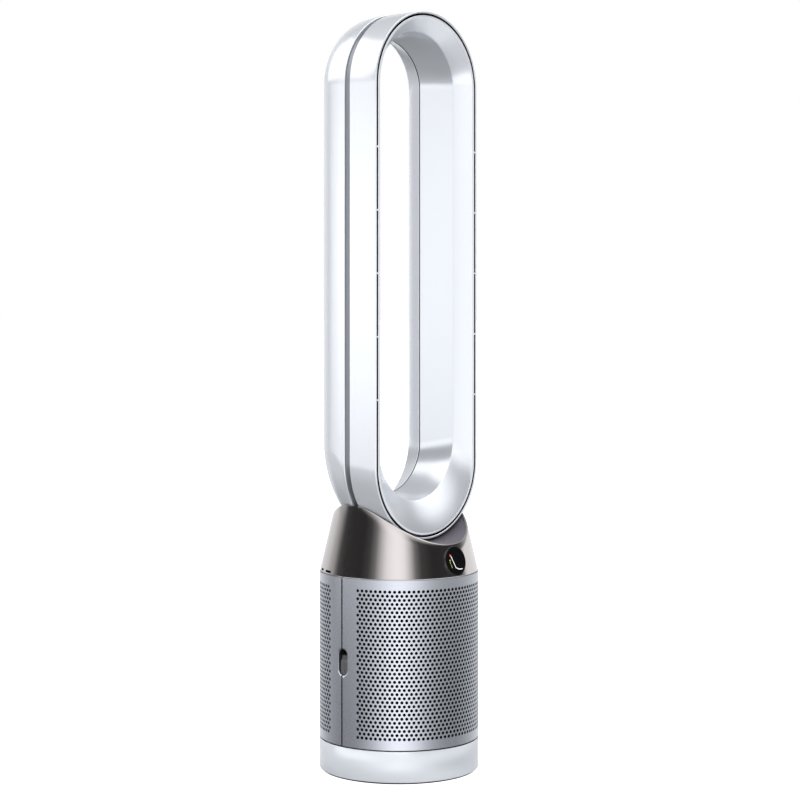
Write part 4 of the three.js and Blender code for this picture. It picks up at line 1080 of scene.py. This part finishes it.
@dataclass
class Column:
    """Turntable, upper deck and release buttons."""

    radius: float = 109.0
    edge: float = 0.4
    hub_bore: float = 20.0
    hub_radius: float = 26.0
    hub_bottom: float = 25.9
    turntable_bottom: float = 45.7
    turntable_top: float = 49.7
    deck_bottom: float = 267.9
    deck_top: float = 271.9
    deck_bore: float = 43.0
    button_face: float = 108.04
    button_depth: float = 10.0
    button_bottom: float = 142.0
    plate_top: float = 161.0
    button_top: float = 169.0
    button_half_width: float = 8.25
    ledge_slope: float = 3.4

    def rounded_rim(self, low: float, high: float) -> Profile:
        """The outer edge of a round plate between two heights, with its corners taken off."""
        inset = self.radius - self.edge
        return (inset, low), (self.radius, low + self.edge), (self.radius, high - self.edge), (inset, high)

    def turntable(self) -> bpy.types.Object:
        """The round plate with the hub that hangs in the base."""
        return lathe("turntable_turned", [
            (self.hub_bore, self.hub_bottom), (self.hub_radius, self.hub_bottom),
            (self.hub_radius, self.turntable_bottom),
            *self.rounded_rim(self.turntable_bottom, self.turntable_top), (self.hub_bore, self.turntable_top),
        ], 192)

    def upper_deck(self) -> bpy.types.Object:
        """The round plate that closes the filter space."""
        return lathe("upper_deck_turned", [
            (self.deck_bore, self.deck_bottom), *self.rounded_rim(self.deck_bottom, self.deck_top),
            (self.deck_bore, self.deck_top),
        ], 192)

    def button(self, name: str, side: int) -> bpy.types.Object:
        """A release button: lower plate with a fine groove, and a hollow finger ledge above it."""
        face = self.button_face
        half = self.button_half_width
        piece = start_piece(name)
        back = face - self.button_depth
        profile = [
            (back, self.button_bottom), (face, self.button_bottom), (face, self.plate_top),
            (face - self.ledge_slope * 0.55, self.plate_top + 2.2),
            (face - self.ledge_slope, self.button_top), (back, self.button_top),
        ]
        draw_outline(piece, profile, filled=True)
        bpy.ops.transform.translate(value=(0, -half * MM, 0))
        bpy.ops.mesh.extrude_region_move(TRANSFORM_OT_translate={"value": (0, 2 * half * MM, 0)})
        end_piece(piece)
        apply_bevel(piece, 0.7, 3)
        low = (face - 0.35, -0.45, self.button_bottom - 1)
        high = (face + 1, 0.45, self.plate_top - 1.2)
        apply_boolean(piece, block("groove", low, high))
        if side < 0:
            for vertex in piece.data.vertices:
                vertex.co.x, vertex.co.y = -vertex.co.x, -vertex.co.y
        return piece

    def build(self) -> None:
        """Builds and dresses the column's own pieces."""
        # Painted shade: the turntable and the upper deck take the dark finish, though their slot is grey, so
        # the seams beside the shrouds read black.
        dress(self.turntable(), PALETTE.dark, "column", "grey", "turntable")
        dress(self.upper_deck(), PALETTE.dark, "column", "grey", "upper_deck")
        for word, side in (("left", -1), ("right", 1)):
            name = f"release_button_{word}"
            dress(self.button(f"{name}_moulded", side), PALETTE.grey, f"button_{word}", "silver", name)


# ---------------------------------------------------------------- conical housing


@dataclass
class Housing:
    """The nickel cone with its cradle-shaped rim, the saddle in it and the round display."""

    foot_radius: float = 110.6
    foot: float = 276.2
    taper: float = 0.234
    wall: float = 3.0
    skirt_radius: float = 109.0
    skirt_bottom: float = 272.2
    rim_front: float = 320.0
    rim_rear: float = 17.5
    rim_sides: float = 53.4
    waist: float = 1.0
    rim_edge: float = 0.9
    columns: int = 256
    display_height: float = 297.5
    display_radius: float = 20.5
    bezel_width: float = 0.8
    bezel_depth: float = 9.0
    bezel_proud: float = 0.5
    lens_thickness: float = 3.0
    vent_height: float = 280.0
    vent_slot: float = 3.0
    vents: tuple[tuple[float, float], ...] = ((-125.5, -119.5), (-114.25, -105.75))
    liner_thickness: float = 3.0
    saddle_steps: int = 40
    loop_gap: float = 2.0

    def cone_radius(self, height: float) -> float:
        """Outside radius of the cone at a height."""
        return self.foot_radius - self.taper * (height - self.foot)

    def rim_height(self, bearing: float) -> float:
        """Height of the rim at a bearing in degrees."""
        turn = math.radians(bearing)
        ends = self.rim_front + self.rim_rear / 2
        sides = self.rim_front + self.rim_sides
        swing = (sides - ends) / 2
        return ((ends + sides) / 2 - self.waist - swing * math.cos(2 * turn)
                + self.waist * math.cos(4 * turn) - self.rim_rear / 2 * math.cos(turn))

    def section(self, bearing: float) -> list[Vector]:
        """The wall's outline at a bearing, from the foot up round the rim and down inside."""
        top = self.rim_height(bearing)
        e = self.rim_edge
        outer = self.cone_radius(top)
        rises = [self.foot + 0.8 + (top - 2 * e - self.foot - 0.8) * i / 6 for i in range(7)]
        points = [(self.foot_radius - 0.6, self.foot)]
        points += [(self.cone_radius(height), height) for height in rises]
        points += [
            (outer - 0.25 * e, top - 0.5 * e), (outer - e, top), (outer - self.wall + 0.4, top),
            (outer - self.wall, top - 0.4), (self.foot_radius - self.wall, self.foot + self.wall),
            (self.skirt_radius - self.wall, self.foot), (self.skirt_radius - self.wall, self.skirt_bottom),
            (self.skirt_radius, self.skirt_bottom), (self.skirt_radius, self.foot),
        ]
        return [bearing_point(radius, bearing, height) for radius, height in points]

    def cone(self) -> bpy.types.Object:
        """The cone, cut by the display's hole, the sensor slots and the loop."""
        piece = start_piece("upper_housing_brushed")
        shape = bmesh.from_edit_mesh(piece.data)
        rows = []
        for i in range(self.columns):
            rows.append([shape.verts.new(place) for place in self.section(360 * i / self.columns)])
        join_rows(shape, [*rows, rows[0]])
        bmesh.update_edit_mesh(piece.data)
        end_piece(piece)
        piece.data.materials.append(PALETTE.nickel.material())
        apply_boolean(piece, self.puck("display_hole", self.display_radius + 0.3, -2 * self.bezel_depth, 9))
        low = self.vent_height - self.vent_slot / 2
        for i, (start, end) in enumerate(self.vents):
            profile = [(self.foot_radius - 9, low), (self.foot_radius + 1, low),
                       (self.foot_radius + 1, low + self.vent_slot),
                       (self.foot_radius - 9, low + self.vent_slot)]
            vent = arc_piece(f"vent_{i}", profile, start, end, 12)
            vent.data.materials.append(PALETTE.dark.material())
            apply_boolean(piece, vent)
        apply_boolean(piece, self.loop_room())
        finish_faces(piece, PALETTE.rim, lambda centre, normal: centre.z > (self.foot + 20) * MM
                     and normal.z > 0.6)
        return piece

    def loop_room(self) -> bpy.types.Object:
        """The room that the loop takes, with the gap round it; its dark finish passes to the faces that it
        cuts, as painted shade in the gap.
        """
        room = AirLoop().block("loop_room", self.loop_gap)
        # Painted shade for the gap between the loop and the cone.
        room.data.materials.append(PALETTE.dark.material())
        return room

    def puck(self, name: str, radius: float, low: float, high: float, bevel: float = 0.0) -> bpy.types.Object:
        """A round block square to the cone at the display, between two depths from the cone's face."""
        piece = start_piece(name)
        bpy.ops.mesh.primitive_cylinder_add(vertices=96, radius=radius * MM, depth=(high - low) * MM)
        bpy.ops.transform.translate(value=(0, 0, (high + low) / 2 * MM))
        end_piece(piece)
        if bevel:
            apply_bevel(piece, bevel, 3)
        tilt = math.atan(self.taper)
        for vertex in piece.data.vertices:
            x, out, up = vertex.co.x, vertex.co.z, vertex.co.y
            vertex.co = self.on_display(x / MM, up / MM, out / MM, tilt)
        reopen(piece)
        return end_piece(piece)

    def on_display(self, across: float, up: float, out: float, tilt: float) -> Vector:
        """A point on the display's face, in millimetres across, up and out of it."""
        return Vector((
            across,
            -self.cone_radius(self.display_height) - out * math.cos(tilt) + up * math.sin(tilt),
            self.display_height + up * math.cos(tilt) + out * math.sin(tilt),
        )) * MM

    def bezel(self) -> bpy.types.Object:
        """The thin ring round the display."""
        ring = self.puck("display_bezel_ring", self.display_radius, -self.bezel_depth, self.bezel_proud, 0.35)
        bore = self.puck("bezel_bore", self.display_radius - self.bezel_width, -2 * self.bezel_depth, 9)
        apply_boolean(ring, bore)
        return ring

    def lens(self) -> bpy.types.Object:
        """The display's glass."""
        radius = self.display_radius - self.bezel_width - 0.3
        back = self.bezel_proud - self.lens_thickness
        return self.puck("display_glass", radius, back, self.bezel_proud, 0.3)

    def stroke(self, name: str, points: Profile, width: float, finish: Finish) -> bpy.types.Object:
        """A flat line on the display's face, through points in millimetres across and up."""
        tilt = math.atan(self.taper)
        piece = start_piece(name)
        shape = bmesh.from_edit_mesh(piece.data)
        low, high = self.bezel_proud - 0.02, self.bezel_proud + 0.05
        lines = []
        for i, (x, z) in enumerate(points):
            before, after = points[max(i - 1, 0)], points[min(i + 1, len(points) - 1)]
            along = Vector((after[0] - before[0], after[1] - before[1])).normalized()
            side = Vector((-along.y, along.x)) * width / 2
            corners = [(x + side.x, z + side.y), (x - side.x, z - side.y)]
            lines.append([
                shape.verts.new(self.on_display(*corners[0], low, tilt)),
                shape.verts.new(self.on_display(*corners[0], high, tilt)),
                shape.verts.new(self.on_display(*corners[1], high, tilt)),
                shape.verts.new(self.on_display(*corners[1], low, tilt)),
            ])
        join_rows(shape, lines, capped=True)
        bmesh.update_edit_mesh(piece.data)
        end_piece(piece)
        piece.data.materials.append(finish.material())
        return piece

    def graph(self) -> bpy.types.Object:
        """A generic air-quality line, with a red start and a scale of green marks beside it."""
        line = [(-8.0, 7.5), (-6.0, 2.5), (-3.4, -4.0), (-1.6, -9.0), (1.0, -10.4), (5.0, -11.8),
                (11.5, -11.8)]
        strokes = [self.stroke("display_graph", line, 1.0, PALETTE.graph_line)]
        strokes.append(self.stroke("red_start", [(-10.2, 8.6), (-8.2, 8.0)], 2.4, PALETTE.graph_red))
        marks = [((-11.2, 2.6), (-10.9, 0.4)), ((-11.4, -0.8), (-10.8, -3.0)), ((-9.6, -4.4), (-9.0, -9.2))]
        for i, mark in enumerate(marks):
            strokes.append(self.stroke(f"green_mark_{i}", mark, 1.2 - 0.3 * i, PALETTE.graph_green))
        return join_pieces(*strokes)

    def cradle(self) -> Profile:
        """The rim's outline seen from the front, as far as the saddle reaches."""
        reach = self.cone_radius(self.rim_front + self.rim_sides) - self.wall - 3
        curve = []
        for i in range(361):
            bearing = 90 * i / 360
            height = self.rim_height(bearing)
            curve.append((self.cone_radius(height) * math.sin(math.radians(bearing)), height))
        points = []
        half = self.saddle_steps
        for i in range(-half, half + 1):
            x = reach * math.sin(math.pi / 2 * i / half)
            after = next(j for j, (place, _) in enumerate(curve) if place >= abs(x) or j == len(curve) - 1)
            (x0, z0), (x1, z1) = curve[max(after - 1, 0)], curve[max(after, 1)]
            points.append((x, z0 + (z1 - z0) * (abs(x) - x0) / (x1 - x0) - 0.3))
        return points

    def saddle(self) -> bpy.types.Object:
        """The nickel saddle that lies in the cone under the loop."""
        top = self.cradle()
        outline = [*top, *((x, z - self.liner_thickness) for x, z in reversed(top))]
        piece = start_piece("saddle_liner_brushed")
        draw_outline(piece, outline, filled=True)
        bpy.ops.transform.translate(value=(0, -self.foot_radius * MM, 0))
        bpy.ops.mesh.extrude_region_move(TRANSFORM_OT_translate={"value": (0, 2 * self.foot_radius * MM, 0)})
        end_piece(piece)
        piece.data.materials.append(PALETTE.liner.material())
        room = self.wall + 0.3
        rise = self.rim_front + self.rim_sides
        inside = lathe("cone_room", [
            (0.01, self.skirt_bottom), (self.cone_radius(self.skirt_bottom) - room, self.skirt_bottom),
            (self.cone_radius(rise) - room, rise), (0.01, rise),
        ], 192)
        apply_boolean(piece, inside, "INTERSECT")
        apply_boolean(piece, self.loop_room())
        return piece

    def build(self) -> None:
        """Builds and dresses the housing."""
        dress(self.cone(), PALETTE.nickel, "column", "nickel", "upper_housing")
        dress(self.saddle(), PALETTE.liner, "column", "nickel", "saddle_liner")
        dress(self.bezel(), PALETTE.bezel, "column", "grey", "display_bezel")
        dress(self.lens(), PALETTE.glass, "display", "glass", "display_lens")
        dress(self.graph(), PALETTE.graph_line, "display", "glass")


# ---------------------------------------------------------------- solids that stay


def dress_solids(frame: dict) -> None:
    """Gives every solid the finish named as its material slot, but the side posts the dark one, as painted
    shade in the seams between the shrouds.
    """
    slots = {row["node"]: row["material_slot"] for row in frame["record"]["subparts"]}
    for name, solid in frame["nodes"].items():
        # Painted shade: the side posts take the dark finish in place of their grey slot.
        finish = PALETTE.dark if name.startswith("side_post") else getattr(PALETTE, slots[name])
        if solid.material_slots:
            solid.material_slots[0].material = finish.material()
        else:
            solid.data.materials.append(finish.material())


# ---------------------------------------------------------------- studio


@dataclass
class Studio:
    """Floor, light and the camera at the photograph's viewpoint."""

    azimuth: float = -46.83
    distance: float = 3.0442
    eye: float = 0.6889
    focal_pixels: float = 2171.7
    image: float = 800.0
    axis_x: float = 399.03
    horizon_y: float = 274.9
    sensor: float = 36.0
    floor_lift: float = 0.95
    ambient: float = 0.5
    reflection: float = 2.0
    ground: Stops = ((-180, 0.08), (-60, 0.08), (0, 0.25), (60, 0.5), (150, 0.5), (180, 0.15))
    low_ring: Stops = ((-180, 0.5), (-148, 0.41), (-124, 0.27), (-107, 0.2), (-93, 0.135), (-67, 0.15),
                       (-54, 0.22), (-41, 0.35), (-30, 0.52), (-18, 0.72), (-7, 0.85), (4, 0.86), (15, 0.75),
                       (27, 0.59), (38, 0.39), (51, 0.245), (63, 0.18), (78, 0.15), (93, 0.158), (112, 0.247),
                       (139, 0.4), (180, 0.5))
    level_ring: Stops = ((-180, 0.5), (-135, 0.4), (-120, 0.25), (-108, 0.25), (-98, 0.8), (-60, 0.8),
                         (-20, 0.55), (30, 0.55), (70, 0.5), (94, 0.55), (130, 0.5), (180, 0.5))
    high_ring: Stops = ((-180, 0.38), (-139, 0.32), (-118, 0.2), (-103, 0.02), (-92, 0.005), (-60, 0.002),
                        (-47, 0.02), (-37, 0.096), (-28, 0.324), (-19, 0.54), (-10, 0.63), (-1, 0.657),
                        (8, 0.6), (16, 0.386), (25, 0.1), (34, 0.025), (53, 0.006), (100, 0.012), (113, 0.04),
                        (130, 0.25), (180, 0.3))
    ceiling: Stops = ((-180, 0.12), (-110, 0.1), (-95, 0.3), (-40, 0.5), (0, 0.55), (60, 0.8), (107, 1.0),
                      (140, 0.7), (160, 0.2), (180, 0.12))
    low_edges: tuple[float, float] = (-24.0, -15.5)
    level_edges: tuple[float, float] = (-7.5, -4.0)
    high_edges: tuple[float, float] = (5.5, 7.5)
    ceiling_edges: tuple[float, float] = (24.0, 36.0)

    def camera(self) -> None:
        """Sets the camera level, at the photograph's distance, height and framing."""
        turn = math.radians(self.azimuth)
        place = Vector((math.sin(turn), -math.cos(turn), 0)) * self.distance
        data = bpy.data.cameras.new("camera")
        data.sensor_width = self.sensor
        data.lens = self.focal_pixels / self.image * self.sensor
        data.shift_x = (self.image / 2 - self.axis_x) / self.image
        data.shift_y = (self.horizon_y - self.image / 2) / self.image
        camera = bpy.data.objects.new("camera", data)
        camera.location = (place.x, place.y, self.eye)
        camera.rotation_euler = Vector((-place.x, -place.y, 0)).to_track_quat("-Z", "Y").to_euler()
        bpy.context.scene.collection.objects.link(camera)
        bpy.context.scene.camera = camera

    def floor(self) -> None:
        """A wide floor as white as the backdrop, that still takes a faint shadow."""
        bpy.ops.object.select_all(action="DESELECT")
        bpy.ops.mesh.primitive_circle_add(vertices=96, radius=30, fill_type="NGON", location=(0, 0, 0))
        floor = bpy.context.object
        floor.name = "floor"
        floor.visible_glossy = False
        made = bpy.data.materials.new("white_floor")
        made.use_nodes = True
        nodes, links = made.node_tree.nodes, made.node_tree.links
        shader = nodes["Principled BSDF"]
        shader.inputs["Base Color"].default_value = (0.5, 0.5, 0.51, 1)
        shader.inputs["Roughness"].default_value = 0.9
        shader.inputs["Specular IOR Level"].default_value = 0.0
        shader.inputs["Emission Color"].default_value = (1, 1, 1, 1)
        rays = nodes.new("ShaderNodeLightPath")
        lift = math_value(made.node_tree, "MULTIPLY", rays.outputs["Is Camera Ray"], self.floor_lift)
        links.new(lift, shader.inputs["Emission Strength"])
        floor.data.materials.append(made)

    def softbox(self, name: str, bearing: float, rise: float, distance: float, size: tuple[float, float],
                power: float) -> bpy.types.Object:
        """An area light that looks at the fan's middle, kept out of reflections until the caller shows it.

        Args:
            name: Name of the light.
            bearing: Degrees from the camera's side, positive to the right in its picture.
            rise: Degrees above the horizon.
            distance: Metres from the fan's middle.
            size: Width and height in metres.
            power: Watts.

        Returns:
            The light.
        """
        turn = math.radians(self.azimuth + bearing)
        up = math.radians(rise)
        aim = Vector((0, 0, 0.6))
        way = Vector((math.sin(turn) * math.cos(up), -math.cos(turn) * math.cos(up), math.sin(up)))
        data = bpy.data.lights.new(name, "AREA")
        data.shape = "RECTANGLE"
        data.size, data.size_y = size
        data.energy = power
        light = bpy.data.objects.new(name, data)
        light.location = aim + way * distance
        light.rotation_euler = (-way).to_track_quat("-Z", "Y").to_euler()
        light.visible_glossy = False
        light.visible_camera = False
        bpy.context.scene.collection.objects.link(light)
        return light

    def ramp(self, tree: bpy.types.NodeTree, share: bpy.types.NodeSocket, stops: Stops,
             span: float) -> bpy.types.NodeSocket:
        """Brightness along a scale, as a colour socket.

        Args:
            tree: The world's nodes.
            share: Socket that runs from 0 to 1 over the span, with 0 degrees in its middle.
            stops: (degrees, brightness) pairs from the lowest to the highest.
            span: Degrees from one end of the scale to the other.

        Returns:
            The ramp's colour.
        """
        node = tree.nodes.new("ShaderNodeValToRGB")
        points = node.color_ramp.elements
        while len(points) < len(stops):
            points.new(1.0)
        for point, (angle, _) in zip(points, stops):
            point.position = angle / span + 0.5
        for point, (_, value) in zip(points, stops):
            point.color = (value * 0.97, value * 0.985, value, 1)
        tree.links.new(share, node.inputs["Fac"])
        return node.outputs["Color"]

    def surroundings(self) -> None:
        """White behind the fan, an even light round it, and light and dark rings in its reflections."""
        world = bpy.data.worlds.new("studio")
        bpy.context.scene.world = world
        world.use_nodes = True
        tree = world.node_tree
        nodes, links = tree.nodes, tree.links
        nodes.clear()
        way = nodes.new("ShaderNodeTexCoord")
        split = nodes.new("ShaderNodeSeparateXYZ")
        links.new(way.outputs["Generated"], split.inputs[0])
        turn = math_value(tree, "ARCTAN2", split.outputs["Y"], split.outputs["X"])
        turn = math_value(tree, "SUBTRACT", turn, math.radians(self.azimuth - 90))
        turn = math_value(tree, "WRAP", turn, math.pi, -math.pi)
        round_share = math_value(tree, "MULTIPLY_ADD", turn, 1 / FULL_TURN, 0.5)
        rise = math_value(tree, "ARCSINE", split.outputs["Z"])
        up_share = math_value(tree, "MULTIPLY_ADD", rise, 1 / math.pi, 0.5)
        seen = self.ramp(tree, round_share, self.ground, 360)
        for ring, edges in ((self.low_ring, self.low_edges), (self.level_ring, self.level_edges),
                            (self.high_ring, self.high_edges), (self.ceiling, self.ceiling_edges)):
            above = self.ramp(tree, up_share, ((edges[0], 0), (edges[1], 1)), 180)
            mix = nodes.new("ShaderNodeMix")
            mix.data_type = "RGBA"
            links.new(above, mix.inputs["Factor"])
            links.new(seen, mix.inputs["A"])
            links.new(self.ramp(tree, round_share, ring, 360), mix.inputs["B"])
            seen = mix.outputs["Result"]
        mirrored = nodes.new("ShaderNodeBackground")
        mirrored.inputs["Strength"].default_value = self.reflection
        links.new(seen, mirrored.inputs["Color"])
        even = nodes.new("ShaderNodeBackground")
        even.inputs["Color"].default_value = (0.9, 0.94, 1, 1)
        even.inputs["Strength"].default_value = self.ambient
        behind = nodes.new("ShaderNodeBackground")
        behind.inputs["Color"].default_value = (1, 1, 1, 1)
        rays = nodes.new("ShaderNodeLightPath")
        result = even.outputs[0]
        for kind, light in (("Is Glossy Ray", mirrored), ("Is Camera Ray", behind)):
            choice = nodes.new("ShaderNodeMixShader")
            links.new(rays.outputs[kind], choice.inputs["Fac"])
            links.new(result, choice.inputs[1])
            links.new(light.outputs[0], choice.inputs[2])
            result = choice.outputs[0]
        out = nodes.new("ShaderNodeOutputWorld")
        links.new(result, out.inputs["Surface"])

    def build(self) -> None:
        """Sets up the studio."""
        self.camera()
        self.floor()
        self.surroundings()
        self.softbox("key", -45, 4, 3.0, (1.2, 1.0), 22)
        self.softbox("front", 5, 8, 3.0, (1.2, 1.2), 24)
        self.softbox("fill", 75, 8, 3.0, (1.2, 1.2), 9)
        self.softbox("top", 10, 75, 3.0, (2.0, 2.0), 45)
        wing = self.softbox("wing", -98, 40, 1.55, (1.2, 1.0), 5)
        wing.visible_glossy = True
        bpy.context.scene.view_settings.view_transform = "Standard"


def main() -> None:
    """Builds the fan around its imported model."""
    logging.basicConfig(level=logging.INFO, format="%(name)s: %(message)s")
    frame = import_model()
    Studio().build()
    dress_solids(frame)
    Base().build()
    Column().build()
    Shroud().build()
    Housing().build()
    AirLoop().build()


if __name__ == "__main__":
    main()
